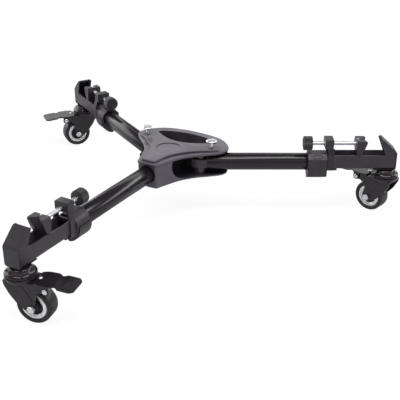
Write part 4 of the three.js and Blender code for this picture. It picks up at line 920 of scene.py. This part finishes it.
lever_mesh = shaped(
    bar(lever_outline, COLLAR_START, LEVER_END, out),
    ("join", bar(hinge_round, knuckle_start, knuckle_end, out)),
    ("join", bar(knuckle_block, knuckle_start, knuckle_end, out)),
    edge=0.7,
    rounds=3,
)
lever_pin = shaped(bar(circle(HINGE_PIN_RADIUS, 24, hinge), COLLAR_START, COLLAR_END, out), edge=0.3)
on_sides(
    arm_places, "lever_blade", lever_mesh, moulded_nylon, "lever_{}", "collar_lever"
)
on_sides(arm_places, "lever_pin", lever_pin, zinc, "lever_{}")


# Screw brackets. Die-cast frames round the inner end of each channel, with a threaded block on top
# for the clamp screw. They are powder coated satin black with a fine dry texture.
BRACKET_START = 261
BRACKET_END = 271
BRACKET_WEB_END = 266.2
BRACKET_CHEEK = 1.8
BRACKET_FOOT = 6
BRACKET_PLATE = 2.7
BLOCK_START = 255.5
BLOCK_END = 269.2
BLOCK_BOTTOM = 26
BLOCK_HALF_WIDTH = 11.5
BLOCK_ROUNDING = 2
CLAMP_TOP = 41
SCREW_HEIGHT = 32
SCREW_RADIUS = 3.2
CHANNEL_HALF_WIDTH = 13
CHANNEL_HEIGHT = 15
CHANNEL_DEPTH = 9
CHANNEL_BEND = 6


def channel_section(growth, top):
    """The trough seen along the arm, bigger by the growth and up to a top."""
    side, curve = CHANNEL_HALF_WIDTH + growth, CHANNEL_BEND + growth
    low = -CHANNEL_DEPTH - growth
    corners = [(-side, low, curve), (side, low, curve), (side, top), (-side, top)]
    return rounded(corners, radius=0, steps=6)


cheek_side = CHANNEL_HALF_WIDTH + GAP + BRACKET_CHEEK
block_side = BLOCK_HALF_WIDTH
bracket_low = -CHANNEL_DEPTH - GAP - BRACKET_PLATE
block_top = [(block_side, CLAMP_TOP, BLOCK_ROUNDING), (-block_side, CLAMP_TOP, BLOCK_ROUNDING)]
bracket_outline = rounded(
    [
        (-cheek_side, bracket_low, CHANNEL_BEND), (cheek_side, bracket_low, CHANNEL_BEND),
        (cheek_side, CHANNEL_HEIGHT), (block_side, BLOCK_BOTTOM), *block_top,
        (-block_side, BLOCK_BOTTOM), (-cheek_side, CHANNEL_HEIGHT),
    ],
    radius=0.5,
)
block_outline = rounded([(-block_side, BLOCK_BOTTOM), (block_side, BLOCK_BOTTOM), *block_top], radius=0)
neck = block_side - BRACKET_CHEEK
over_web = [
    (-CHANNEL_HALF_WIDTH, CHANNEL_HEIGHT), (CHANNEL_HALF_WIDTH, CHANNEL_HEIGHT),
    (neck, BLOCK_BOTTOM), (-neck, BLOCK_BOTTOM),
]
foot_side = CHANNEL_HALF_WIDTH - CHANNEL_BEND / 2
channel_room = channel_section(GAP, CHANNEL_HEIGHT + OVERRUN)
bracket_end = BRACKET_END + OVERRUN
foot_end = BRACKET_END + BRACKET_FOOT
screw_hole = circle(SCREW_RADIUS + GAP, 32, (0, SCREW_HEIGHT))
bracket_mesh = shaped(
    bar(bracket_outline, BRACKET_START, BRACKET_END, out),
    ("cut", bar(channel_room, BRACKET_WEB_END, bracket_end, out)),
    ("cut", bar(over_web, BRACKET_START - OVERRUN, bracket_end, out)),
    ("cut", box(BLOCK_END, bracket_end, -cheek_side, cheek_side, BLOCK_BOTTOM, CLAMP_TOP + OVERRUN)),
    ("join", bar(block_outline, BLOCK_START, BLOCK_END, out)),
    ("join", box(BRACKET_START, foot_end, -foot_side, foot_side, bracket_low, -CHANNEL_DEPTH - GAP)),
    ("cut", bar(screw_hole, 0, 2 * BRACKET_END, out)),
    ("cut", bar(circle(INNER_TUBE_RADIUS + GAP, 64), 0, INNER_TUBE_END + GAP, out)),
    ("cut", bar(circle(INNER_TUBE_RADIUS - TUBE_WALL, 64), 0, BRACKET_WEB_END + OVERRUN, out)),
    edge=0.5,
)
# The darkest of the coats, satin, with soft grey edges where it catches the light.
bracket_coat = finish("satin_black_powder_coat", "#241e26", "#2c252e", 0.38, grain=0.7, relief=0.03)
on_sides(
    arm_places, "bracket_casting", bracket_mesh, bracket_coat, "end_{}", "screw_bracket"
)


# Channels and end stops. Steel plate of 2.2 mm, pressed to a trough whose side walls rise into
# two ears, and a strip bent under it, up its end and back over it as the clamp's fixed side.
ARM_REACH = 372.5
CHANNEL_START = 266.5
CHANNEL_END = 369.7
CHANNEL_WALL = 2.2
STOP_PLATE = 2.5
KNEE_HEIGHT = 20
STOP_LEAN = 24.5
STOP_TOP = 42.3
STOP_UNDERLAP = 35
STOP_TOP_ROUND = 4
EAR_RUN = 15.7
EAR_TIP = 2
END_BEND = 3


def stop_face(distance):
    """The knee and the top of the end stop's outer face, moved inwards by a distance."""
    rise = STOP_TOP - KNEE_HEIGHT
    slant = math.hypot(STOP_LEAN, rise)
    drop = distance * (slant - rise) / STOP_LEAN
    return (
        (ARM_REACH - distance, KNEE_HEIGHT - drop),
        (ARM_REACH - STOP_LEAN - distance * rise / slant, STOP_TOP - distance * STOP_LEAN / slant),
    )


knee, ear_top = stop_face(STOP_PLATE + GAP)
channel_side = rounded(
    [
        (CHANNEL_START, -CHANNEL_DEPTH), (CHANNEL_END, -CHANNEL_DEPTH, END_BEND), knee, ear_top,
        (ear_top[0] - EAR_TIP, ear_top[1]), (CHANNEL_END - EAR_RUN, CHANNEL_HEIGHT),
        (CHANNEL_START, CHANNEL_HEIGHT),
    ],
    radius=0.6,
)
inside = channel_section(-CHANNEL_WALL, 2 * STOP_TOP)
channel_mesh = shaped(
    bar(channel_side, -CHANNEL_HALF_WIDTH, CHANNEL_HALF_WIDTH, over),
    ("common", bar(channel_section(0, STOP_TOP), CHANNEL_START - OVERRUN, ARM_REACH, out)),
    ("cut", bar(inside, CHANNEL_START - OVERRUN, ARM_REACH, out)),
    edge=0.75,
)
strip_top = -CHANNEL_DEPTH - GAP
strip_low = strip_top - STOP_PLATE
strip_start = ARM_REACH - STOP_UNDERLAP
inner_knee, inner_top = stop_face(STOP_PLATE)
stop_strip = rounded(
    [
        (strip_start, strip_top), (strip_start, strip_low),
        (ARM_REACH, strip_low, END_BEND + GAP + STOP_PLATE), (ARM_REACH, KNEE_HEIGHT, STOP_PLATE),
        (ARM_REACH - STOP_LEAN, STOP_TOP), inner_top, (*inner_knee, STOP_PLATE / 2),
        (inner_knee[0], strip_top, END_BEND + GAP),
    ],
    radius=0.3,
    steps=5,
)
stop_side = CHANNEL_HALF_WIDTH
stop_front = rounded(
    [
        (-stop_side, strip_low, CHANNEL_BEND), (stop_side, strip_low, CHANNEL_BEND),
        (stop_side, STOP_TOP, STOP_TOP_ROUND), (-stop_side, STOP_TOP, STOP_TOP_ROUND),
    ],
    radius=0,
    steps=6,
)
stop_mesh = shaped(
    bar(stop_strip, -stop_side, stop_side, over),
    ("common", bar(stop_front, ARM_REACH - 2 * STOP_UNDERLAP, ARM_REACH + OVERRUN, out)),
    edge=0.75,
)
# Inside the trough the colour is painted paler than on the outer faces, as painted light that lifts the
# shaded hollow.
channel_coat = finish(
    "trough_painted_light_powder_coat", "#2b252d", "#332c35", 0.38, grain=0.7, relief=0.03, painted_hollow_light=(25, 3.6)
)
on_sides(
    arm_places, "channel_plate", channel_mesh, channel_coat, "end_{}", "foot_channel"
)
on_sides(arm_places, "stop_plate", stop_mesh, bracket_coat, "end_{}", "end_stop")


# Clamp screws. Zinc-plated steel rod with a rolled thread of 1.25 mm pitch along its whole length,
# held in the knob at one end and free to turn in the jaw at the other.
KNOB_START = 221
KNOB_LENGTH = 14.6
SCREW_SOCKET = 6
JAW_BACK = 305.5
THREAD_PITCH = 1.25
THREAD_DEPTH = 0.24
THREAD_STEPS = 20
THREAD_ROWS = 4
CLAMP_SHIFTS = {"front": 0, "left": -5.04, "right": 0}  # the left clamp is opened a little


def screw_ring(ahead, steps, radius_at):
    """Points round the clamp screw's axis, with a radius for each share of a turn."""
    made = []
    for k in range(steps):
        a, radius = 2 * math.pi * k / steps, radius_at(k / steps)
        made.append((ahead, radius * math.cos(a), SCREW_HEIGHT + radius * math.sin(a)))
    return made


screw_start = KNOB_START + KNOB_LENGTH - SCREW_SOCKET + GAP
screw_end = JAW_BACK + SCREW_SOCKET - GAP
ring_count = int((screw_end - screw_start) / THREAD_PITCH * THREAD_ROWS)
thread_rings = []
for count in range(ring_count + 1):
    ahead = screw_start + (screw_end - screw_start) * count / ring_count
    taper = min(1.0, count / THREAD_ROWS, (ring_count - count) / THREAD_ROWS)
    dips = [abs(((ahead / THREAD_PITCH + k / THREAD_STEPS) % 1) * 2 - 1) for k in range(THREAD_STEPS)]
    radii = [SCREW_RADIUS - THREAD_DEPTH * (1 - dip * taper) for dip in dips]
    thread_rings.append(
        screw_ring(ahead, THREAD_STEPS, lambda turn: radii[round(turn * THREAD_STEPS)])
    )
thread_mesh = smooth(lofted(thread_rings), least=60)
clamp_places = {side: arm_place(angle, CLAMP_SHIFTS[side]) for side, angle in ARM_ANGLES.items()}
on_sides(
    clamp_places, "clamp_thread", thread_mesh, zinc, "screw_{}", "clamp_screw"
)


# Knobs. Moulded black phenolic, with fine ribs for the fingers and a shallow dish in the outer face.
# Each is pressed onto the end of its clamp screw.
KNOB_RADIUS = 11.4
KNOB_RIBS = 40
KNOB_RIB_DEPTH = 0.55
KNOB_DISH_RADIUS = 7.5
KNOB_DISH_DEPTH = 0.8
KNOB_DISH_EASE = 0.5
KNOB_EASE = 0.9
KNOB_EASE_RIBS = 0.6


def knob_ring(ahead, shrink, rib_share):
    """A ring of the knob, in from its radius, with a share of the ribs' full depth."""

    def radius_at(turn):
        groove = (1 + math.cos(2 * math.pi * KNOB_RIBS * turn)) / 2
        return KNOB_RADIUS - shrink - rib_share * groove * KNOB_RIB_DEPTH

    return screw_ring(ahead, 4 * KNOB_RIBS, radius_at)


knob_end = KNOB_START + KNOB_LENGTH
dish = KNOB_RADIUS - KNOB_DISH_RADIUS
screw_socket = KNOB_RADIUS - SCREW_RADIUS - GAP
knob_rings = [
    (KNOB_START + KNOB_DISH_DEPTH, dish + KNOB_DISH_EASE, 0),
    (KNOB_START, dish, 0),
    (KNOB_START, KNOB_EASE + KNOB_RIB_DEPTH, 0),
    (KNOB_START + KNOB_EASE / 3, KNOB_EASE / 3, KNOB_EASE_RIBS),
    (KNOB_START + KNOB_EASE, 0, 1),
    (knob_end - KNOB_EASE, 0, 1),
    (knob_end - KNOB_EASE / 3, KNOB_EASE / 3, KNOB_EASE_RIBS),
    (knob_end, KNOB_EASE + KNOB_RIB_DEPTH, 0),
    (knob_end, screw_socket, 0),
    (knob_end - SCREW_SOCKET, screw_socket, 0),
]
knob_mesh = smooth(lofted([knob_ring(*ring) for ring in knob_rings]), least=50)
# A dry black, the ribs of which show as fine grey lines. Its grain is drawn coarser than it is.
phenolic = finish("moulded_phenolic", "#252126", "#2d292e", 0.45, grain=0.4, relief=0.02)
on_sides(clamp_places, "knob_grip", knob_mesh, phenolic, "screw_{}", "knob")


# Jaws. Die-cast blocks with a V that takes the tripod's foot, coated like the brackets. A guide below
# runs between the channel's walls, and a small grub screw on top keeps the clamp screw in place.
JAW_LENGTH = 18
JAW_TOP = 39.5
JAW_LOW = CHANNEL_HEIGHT + GAP
JAW_NOTCH = 9.5
JAW_NOTCH_HALF_WIDTH = 10
JAW_TONGUE_LOW = 3
GRUB_RADIUS = 1.9
GRUB_AHEAD = 3.6
GRUB_TOP = 0.7
GRUB_ROUNDING = 0.4
GRUB_KEY = (0.9, 0.2)  # the hexagon socket's radius, and how far it goes below the jaw's top

jaw_front = JAW_BACK + JAW_LENGTH
lean = JAW_LENGTH / 4
jaw_side = rounded(
    [
        (JAW_BACK + lean / 2, JAW_LOW), (jaw_front - 2 * lean, JAW_LOW),
        (jaw_front - lean, JAW_LOW + 2 * lean), (jaw_front, JAW_TOP - lean / 2),
        (jaw_front - lean / 2, JAW_TOP), (JAW_BACK + lean / 4, JAW_TOP), (JAW_BACK, JAW_TOP - 2 * lean),
    ],
    radius=0.5,
)
notch_side = JAW_NOTCH_HALF_WIDTH + OVERRUN
jaw_notch = [
    (jaw_front - JAW_NOTCH, 0), (jaw_front + OVERRUN, -notch_side), (jaw_front + OVERRUN, notch_side),
]
tongue_side = CHANNEL_HALF_WIDTH - CHANNEL_WALL - GAP
tongue = box(
    JAW_BACK + lean / 2, jaw_front - 2 * lean, -tongue_side, tongue_side,
    JAW_TONGUE_LOW, JAW_LOW + OVERRUN,
)
jaw_mesh = shaped(
    bar(jaw_side, -CHANNEL_HALF_WIDTH, CHANNEL_HALF_WIDTH, over),
    ("cut", bar(jaw_notch, JAW_LOW - OVERRUN, JAW_TOP + OVERRUN)),
    ("cut", bar(screw_hole, 0, JAW_BACK + SCREW_SOCKET, out)),
    ("join", tongue),
    edge=0.5,
)
grub_mesh = shaped(
    stacked(circle(GRUB_RADIUS, 24), roll(JAW_TOP - 2 * OVERRUN, JAW_TOP + GRUB_TOP, GRUB_ROUNDING)),
    ("cut", bar(circle(GRUB_KEY[0], 6), JAW_TOP - GRUB_KEY[1], BEYOND)),
    edge=0.08,
)
moved(grub_mesh, JAW_BACK + GRUB_AHEAD)
on_sides(clamp_places, "jaw_block", jaw_mesh, bracket_coat, "jaw_{}", "jaw")
on_sides(clamp_places, "jaw_grub_screw", grub_mesh, zinc, "jaw_{}")


# Caster races. Pressed steel domes under each end stop, with the kingpin riveted through and four
# rivets round it, and bearings hidden between the two races.
SWIVEL_REACH = 358.5
HEADINGS = {"front": 12, "left": 234, "right": 167}
RACE_RADIUS = 22
RACE_TOP = -20
RACE_THICKNESS = 2.9
RACE_CAP = -12.1
RACE_CAP_RADIUS = 13.2
RACE_LOW_EDGE = [(-1.6, 0), (-0.5, 0.3), (0, 1)]
RACE_TOP_EDGE = [(0, -1), (-0.4, -0.2)]
RACE_SHOULDER = (1.2, 5)
RACE_FALL = 3
KINGPIN_RADIUS = 5
KINGPIN_HEAD_RADIUS = 8
KINGPIN_HEAD_HEIGHT = 2
KINGPIN_HEAD_EASE = 0.6
LOWER_RACE = 7
FORK_TOP = RACE_TOP - RACE_THICKNESS - 2 * GAP
FORK_LOW = FORK_TOP - LOWER_RACE - GAP
RACE_RIVETS = 4
RACE_RIVET_REACH = 17.6
RACE_RIVET_PROFILE = [(0, -17.5), (2.2, -17.5), (2.2, -16.6), (1.76, -15.9), (0.88, -15.5), (0, -15.4)]

fork_places = {
    side: arm_place(angle, SWIVEL_REACH, HEADINGS[side] - angle) for side, angle in ARM_ANGLES.items()
}


def off(radius, height, ways):
    """Points of a profile that are given by how far they lie from one of its corners."""
    return [(radius + x, height + z) for x, z in ways]


def on_casters(name, mesh, material, body, node):
    """The same painted piece on each caster, turned in its mesh so that its box fits closely."""
    for side, place in fork_places.items():
        made = mesh.copy()
        made.transform(place.to_quaternion().to_matrix().to_4x4())
        level = Matrix.Translation(place.translation)
        rides, stands_for = f"{body}_{side}", f"{node}_{side}"
        piece(f"{name}_{side}", made, material, rides, stands_for, level)


pin_top = FORK_LOW - GAP
pin_low = pin_top - KINGPIN_HEAD_HEIGHT
race_under = RACE_TOP - RACE_THICKNESS
race_cap = (RACE_CAP_RADIUS, RACE_CAP)
race_shoulder = [(RACE_RADIUS - x, RACE_TOP) for x in RACE_SHOULDER]
dome = bend([*race_shoulder, (RACE_CAP_RADIUS + RACE_FALL, RACE_CAP), race_cap], steps=10)
race_profile = [
    (0, pin_low), (KINGPIN_HEAD_RADIUS - KINGPIN_HEAD_EASE, pin_low),
    (KINGPIN_HEAD_RADIUS, pin_low + KINGPIN_HEAD_EASE), (KINGPIN_HEAD_RADIUS, pin_top),
    (KINGPIN_RADIUS, pin_top), (KINGPIN_RADIUS, race_under),
    *off(RACE_RADIUS, race_under, RACE_LOW_EDGE), *off(RACE_RADIUS, RACE_TOP, RACE_TOP_EDGE),
    *dome, race_cap, (0, RACE_CAP),
]
race_mesh = smooth(turned(race_profile, up, steps=72), least=45)
rivet_mesh = smooth(turned(RACE_RIVET_PROFILE, up, steps=24))
# Thick dip paint, near black, that runs to a wet gloss with slow waves in it.
caster_paint = finish("gloss_black_dip_paint", "#1f171e", "#271e26", 0.17, grain=2.5, relief=0.02)
on_casters("race_dome", race_mesh, caster_paint, "end", "caster_race")
for side, angle in ARM_ANGLES.items():
    for count in range(RACE_RIVETS):
        around = arm_place(angle, SWIVEL_REACH, 360 * (count + 0.5) / RACE_RIVETS)
        place = around @ Matrix.Translation((RACE_RIVET_REACH / 1000, 0, 0))
        name = f"race_rivet_{side}_{count + 1}"
        piece(name, rivet_mesh, caster_paint, "end_" + side, place=place)


# Caster forks. The lower race is welded to a folded steel bridge with two legs, each pressed with a
# long rib for stiffness. Painted with the races.
TRAIL = 20
WHEEL_RADIUS = 25.4
AXLE_DEPTH = HUB_AXIS[2] - WHEEL_RADIUS
TYRE_HALF_WIDTH = 12
FORK_PLATE = 2.2
TYRE_ROOM = 1.2
LEG_INSIDE = TYRE_HALF_WIDTH + TYRE_ROOM
LEG_OUTSIDE = LEG_INSIDE + FORK_PLATE
BRIDGE_BACK = 19
BRIDGE_FRONT = 34
BRIDGE_PLATE = 2.5
BRIDGE_TOP = FORK_LOW + BRIDGE_PLATE
AXLE_RADIUS = 3
AXLE_BOSS = 8
BRAKE_PIN = (43, -34)
BRAKE_PIN_RADIUS = 2
BRAKE_EAR = 5
LEG_REAR_SHARES = [(0, 0), (0.02, 0.14), (0.2, 0.52), (0.43, 0.84), (0.72, 1.12)]
LEG_END_SHARES = [(-0.33, -1), (0.6, -0.7), (0.8, 0.5)]
LEG_RIB = [(1.5, -36), (8.5, -36), (20, -55), (15, -57)]
LEG_RIB_ROUND = 2.6
LEG_RIB_LEVELS = [(0, -0.5), (0, 0), (1.1, 0.3), (2.2, 0.5)]
LOWER_RACE_FOOT = [(-2.4, 0), (-1, 1.4), (-0.2, 3.2), (0, 4.4)]
LOWER_RACE_EDGE = [(0, -0.9), (-0.5, -0.2), (-1.4, 0)]

leg_run, leg_fall = TRAIL + BRIDGE_BACK, FORK_LOW + AXLE_DEPTH
leg_rear = [(-BRIDGE_BACK + x * leg_run, FORK_LOW - z * leg_fall) for x, z in LEG_REAR_SHARES]
leg_end = [(TRAIL + x * AXLE_BOSS, -AXLE_DEPTH + z * AXLE_BOSS) for x, z in LEG_END_SHARES]
pin_x, pin_z = BRAKE_PIN
ear_low = pin_z - BRAKE_EAR
leg_outline = rounded(
    [
        *leg_rear, *leg_end,
        (leg_end[-1][0], pin_z - 2 * BRAKE_EAR), (pin_x - 2 * BRAKE_EAR, ear_low),
        (pin_x + BRAKE_EAR, ear_low), (pin_x + BRAKE_EAR, pin_z + BRAKE_EAR / 2),
        (BRIDGE_FRONT, BRIDGE_TOP), (-BRIDGE_BACK, BRIDGE_TOP),
    ],
    FORK_PLATE,
)
bridge_outline = rounded(
    [
        (-BRIDGE_BACK, -LEG_OUTSIDE), (BRIDGE_FRONT, -LEG_OUTSIDE),
        (BRIDGE_FRONT, LEG_OUTSIDE), (-BRIDGE_BACK, LEG_OUTSIDE),
    ],
    FORK_PLATE,
)
lower_race = [
    (0, FORK_LOW), *off(RACE_RADIUS, FORK_LOW, LOWER_RACE_FOOT),
    *off(RACE_RADIUS, FORK_TOP, LOWER_RACE_EDGE), (0, FORK_TOP),
]
rib_outline = rounded(LEG_RIB, LEG_RIB_ROUND, steps=6)
rib_levels = [(distance, LEG_OUTSIDE + height) for distance, height in LEG_RIB_LEVELS]
brake_pin_hole = circle(BRAKE_PIN_RADIUS + GAP, 24, BRAKE_PIN)
fork_mesh = shaped(
    turned(lower_race, up, steps=72),
    ("join", bar(bridge_outline, FORK_LOW, BRIDGE_TOP)),
    *both_sides(leg_outline, [(0, LEG_INSIDE), (0, LEG_OUTSIDE)]),
    *both_sides(rib_outline, rib_levels),
    ("cut", bar(circle(KINGPIN_RADIUS + GAP, 32), -BEYOND, BEYOND)),
    ("cut", bar(circle(AXLE_RADIUS + GAP, 32, (TRAIL, -AXLE_DEPTH)), -BEYOND, BEYOND, over)),
    ("cut", bar(brake_pin_hole, -BEYOND, BEYOND, over)),
    edge=0.6,
    rounds=3,
)
on_casters("fork_pressing", fork_mesh, caster_paint, "fork", "caster_fork")


# Axles. A zinc-plated steel bolt through each fork's legs and the wheel between them, with a
# hexagon head at one end and a nut at the other.
AXLE_HEAD_RADIUS = 5.6
AXLE_HEAD_LENGTH = 4.8
AXLE_HEAD_EDGE = [(0, -1.0), (0.8, -0.2)]

axle_face = LEG_OUTSIDE + GAP
axle_tip = axle_face + AXLE_HEAD_LENGTH
axle_mesh = shaped(
    bar(circle(AXLE_RADIUS, 32), -axle_tip, axle_tip, over),
    *both_sides(circle(AXLE_HEAD_RADIUS, 6), [(0, axle_face), *off(0, axle_tip, AXLE_HEAD_EDGE)]),
    edge=0.15,
)


def off_fork(x, z):
    """Places ahead of the swivel and above the tubes' height, in the plane of each fork."""
    step = Matrix.Translation((x / 1000, 0, z / 1000))
    return {side: place @ step for side, place in fork_places.items()}


wheel_places = off_fork(TRAIL, -AXLE_DEPTH)
on_sides(wheel_places, "axle_bolt", axle_mesh, zinc, "fork_{}", "axle")


# Wheels. A turned aluminium ring with a satin face is pressed round a black moulded core, and a
# polyurethane tyre is cast onto it with rounded shoulders.
RIM_RADIUS = 18.5
RIM_RECESS = 12.6
RIM_HALF_WIDTH = 10.4
RIM_INNER_EDGE = [(0, -1.6), (0.7, -0.9), (2.4, -0.9), (2.9, -0.2)]
RIM_OUTER_EDGE = [(-0.5, 0), (0, -0.4)]
CORE_RADIUS = 7
CORE_HALF_WIDTH = 5
CORE_EDGE = [(-0.6, 0), (0, -0.6)]
CORE_FOOT = [(0.8, 0.6), (1.8, 0)]
CORE_FIT = 0.05
TYRE_SHOULDER = 3.4
TYRE_SHOULDER_SWELL = 0.6
TYRE_LIP = [(0, -0.2), (0.5, 0.3)]
TYRE_FLANK = [(1.7, -0.3), (2.4, 0)]


def both_ways(half, steps, least):
    """A wheel part turned from the half of its section that lies on one side of the middle."""
    return smooth(turned([(r, -y) for r, y in half] + half[::-1], over, steps), least)


rim_mesh = both_ways(
    [
        (RIM_RECESS, CORE_HALF_WIDTH - 1), *off(RIM_RECESS, RIM_HALF_WIDTH, RIM_INNER_EDGE),
        *off(RIM_RADIUS, RIM_HALF_WIDTH, RIM_OUTER_EDGE),
    ],
    steps=72,
    least=35,
)
hub_side = LEG_INSIDE - GAP
core_mesh = both_ways(
    [
        (AXLE_RADIUS + GAP, hub_side), *off(CORE_RADIUS, hub_side, CORE_EDGE),
        *off(CORE_RADIUS, CORE_HALF_WIDTH, CORE_FOOT), (RIM_RECESS - CORE_FIT, CORE_HALF_WIDTH),
    ],
    steps=64,
    least=40,
)
tyre_in = RIM_RADIUS + GAP
tyre_shoulder = [
    (WHEEL_RADIUS - TYRE_SHOULDER, TYRE_HALF_WIDTH),
    (WHEEL_RADIUS - TYRE_SHOULDER_SWELL, TYRE_HALF_WIDTH),
    (WHEEL_RADIUS, TYRE_HALF_WIDTH - TYRE_SHOULDER),
]
tyre_mesh = both_ways(
    [
        *off(tyre_in, RIM_HALF_WIDTH, TYRE_LIP), *off(tyre_in, TYRE_HALF_WIDTH, TYRE_FLANK),
        *bend(tyre_shoulder, steps=7), tyre_shoulder[-1],
    ],
    steps=96,
    least=40,
)
# The ring is the one large bright spot of a caster. Its turning marks are drawn coarser than real.
rim_metal = finish(
    "turned_aluminium", "#f4f4f6", "#fcfcfd", 0.34, grain=0.3, relief=0.008, metallic=1.0,
    streak=(1, 0.3, 1),
)
# The core is a matt black that all but vanishes behind the fork. Its skin is drawn coarser too.
core_nylon = finish("moulded_wheel_nylon", "#1d1c1e", "#242325", 0.48, grain=0.5, relief=0.02)
# The tyre is black with a broad dull shine over its shoulders. The cast skin is drawn coarser.
polyurethane = finish("cast_polyurethane", "#19181a", "#201f21", 0.38, grain=0.9, relief=0.015)
on_sides(wheel_places, "wheel_ring", rim_mesh, rim_metal, "wheel_{}", "wheel_rim")
on_sides(wheel_places, "wheel_core", core_mesh, core_nylon, "wheel_{}")
on_sides(wheel_places, "tyre", tyre_mesh, polyurethane, "wheel_{}", "wheel_tyre")


# Brake pedals. Steel plate pressed into a neck and a broad ribbed toe pad, with two ears that turn
# on the brake pin, a bright rivet on top and a curved shoe that swings down in front of the tyre.
PEDAL_PLATE = 2.4
PEDAL_REACH = 82
PEDAL_NECK = (55, 12.5)
PEDAL_LEAF = 17.5
PEDAL_DROP = 2
PEDAL_ROOM = 6
PEDAL_RIB_PLACES = (67, 71, 75)
PEDAL_RIB_HALVES = (0.9, 12)
PEDAL_RIB_HEIGHT = 0.7
PEDAL_RIB_ROUNDING = 0.5
PEDAL_ROOT_SHARE = 0.8
PEDAL_EAR_SHARE = 0.8
SHOE_START = 36.5
SHOE_BITE = 0.1
SHOE_CURVE = [(39.5, -31), (41, -36), (40.5, -41), (38, -45.5)]
SHOE_HALF_WIDTH = 7.5
SHOE_PLATE = 1.6
PEDAL_RIVET_AHEAD = 28.5
PEDAL_RIVET_PROFILE = [
    (0, -26), (2.9, -26), (2.9, -25.2), (2.5, -24.6), (1.6, -24.2), (0.8, -24.1), (0, -24.1),
]

pedal_low = BRIDGE_TOP + GAP
pedal_top = pedal_low + PEDAL_PLATE
pedal_start = RACE_RADIUS + 2
pedal_bend = pin_x + 2 * BRAKE_EAR
ear_inside = LEG_OUTSIDE + GAP
ear_outside = ear_inside + FORK_PLATE
pedal_side = rounded(
    [
        (pedal_start, pedal_low), (pedal_bend, pedal_low), (PEDAL_REACH, pedal_low - PEDAL_DROP),
        (PEDAL_REACH, pedal_top - PEDAL_DROP), (pedal_bend, pedal_top), (pedal_start, pedal_top),
    ],
    radius=0.8,
)
half_plan = [
    (pedal_start, PEDAL_ROOT_SHARE * ear_outside), (pin_x - 2 * BRAKE_EAR, ear_outside),
    (pin_x + BRAKE_EAR, ear_outside), PEDAL_NECK, (PEDAL_NECK[0] + BRAKE_EAR, PEDAL_LEAF),
    (PEDAL_REACH - BRAKE_EAR, PEDAL_LEAF), (PEDAL_REACH, PEDAL_NECK[1]),
]
pedal_plan = rounded([(x, -y) for x, y in half_plan] + half_plan[::-1], PEDAL_PLATE, steps=5)
ear_root, ear_round = pedal_low + PEDAL_PLATE / 2, BRAKE_EAR * PEDAL_EAR_SHARE
ear_outline = rounded(
    [
        (pin_x - BRAKE_EAR, ear_root), (pin_x - BRAKE_EAR, ear_low, ear_round),
        (pin_x + BRAKE_EAR, ear_low, ear_round), (pin_x + BRAKE_EAR, ear_root),
    ],
    radius=0.6,
)


def pedal_rib(x):
    """A rib across the toe pad, which falls towards its end."""
    top = pedal_top - PEDAL_DROP * (x - pedal_bend) / (PEDAL_REACH - pedal_bend)
    width, side = PEDAL_RIB_HALVES
    outline = rounded([(-width, -side), (width, -side), (width, side), (-width, side)], width)
    levels = roll(top - OVERRUN, top + PEDAL_RIB_HEIGHT, PEDAL_RIB_ROUNDING)
    return moved(stacked(outline, levels), x)


shoe_outer = spline([(SHOE_START, pedal_low + GAP + SHOE_BITE), *SHOE_CURVE], steps=5)
shoe_outline = shoe_outer + [(x - SHOE_PLATE, z) for x, z in reversed(shoe_outer)]
pedal_mesh = shaped(
    bar(pedal_side, -ear_outside - OVERRUN, ear_outside + OVERRUN, over),
    ("common", bar(pedal_plan, pedal_low - PEDAL_ROOM, pedal_low + PEDAL_ROOM)),
    *both_sides(ear_outline, [(0, ear_inside), (0, ear_outside)]),
    ("join", bar(shoe_outline, -SHOE_HALF_WIDTH, SHOE_HALF_WIDTH, over)),
    *[("join", pedal_rib(x)) for x in PEDAL_RIB_PLACES],
    ("cut", bar(brake_pin_hole, -BEYOND, BEYOND, over)),
    edge=0.5,
    rounds=3,
)
# Enamel a shade blacker than the forks, worn a little duller by shoes.
pedal_paint = finish("stoved_black_enamel", "#151116", "#1c171d", 0.2, grain=2.5, relief=0.02)
on_casters("pedal_pressing", pedal_mesh, pedal_paint, "pedal", "brake_pedal")
pedal_rivet = moved(smooth(turned(PEDAL_RIVET_PROFILE, up, steps=28)), PEDAL_RIVET_AHEAD)
on_sides(fork_places, "pedal_rivet", pedal_rivet, zinc, "pedal_{}")


# Brake pins. Zinc-plated steel pins through the fork's legs and the pedal's ears. Both ends are
# riveted over to domed heads.
BRAKE_HEAD_PROFILE = [(3.6, 0), (3.6, 0.5), (3.0, 1.2), (1.6, 1.7), (0, 1.7)]

pin_face = ear_outside + GAP
pin_half = [(BRAKE_PIN_RADIUS, pin_face), *off(0, pin_face, BRAKE_HEAD_PROFILE)]
pin_both = [(r, -y) for r, y in reversed(pin_half)] + pin_half
brake_pin_mesh = smooth(turned(pin_both, over, steps=32))
brake_places = off_fork(*BRAKE_PIN)
on_sides(brake_places, "brake_rivet", brake_pin_mesh, zinc, "fork_{}", "brake_pin")
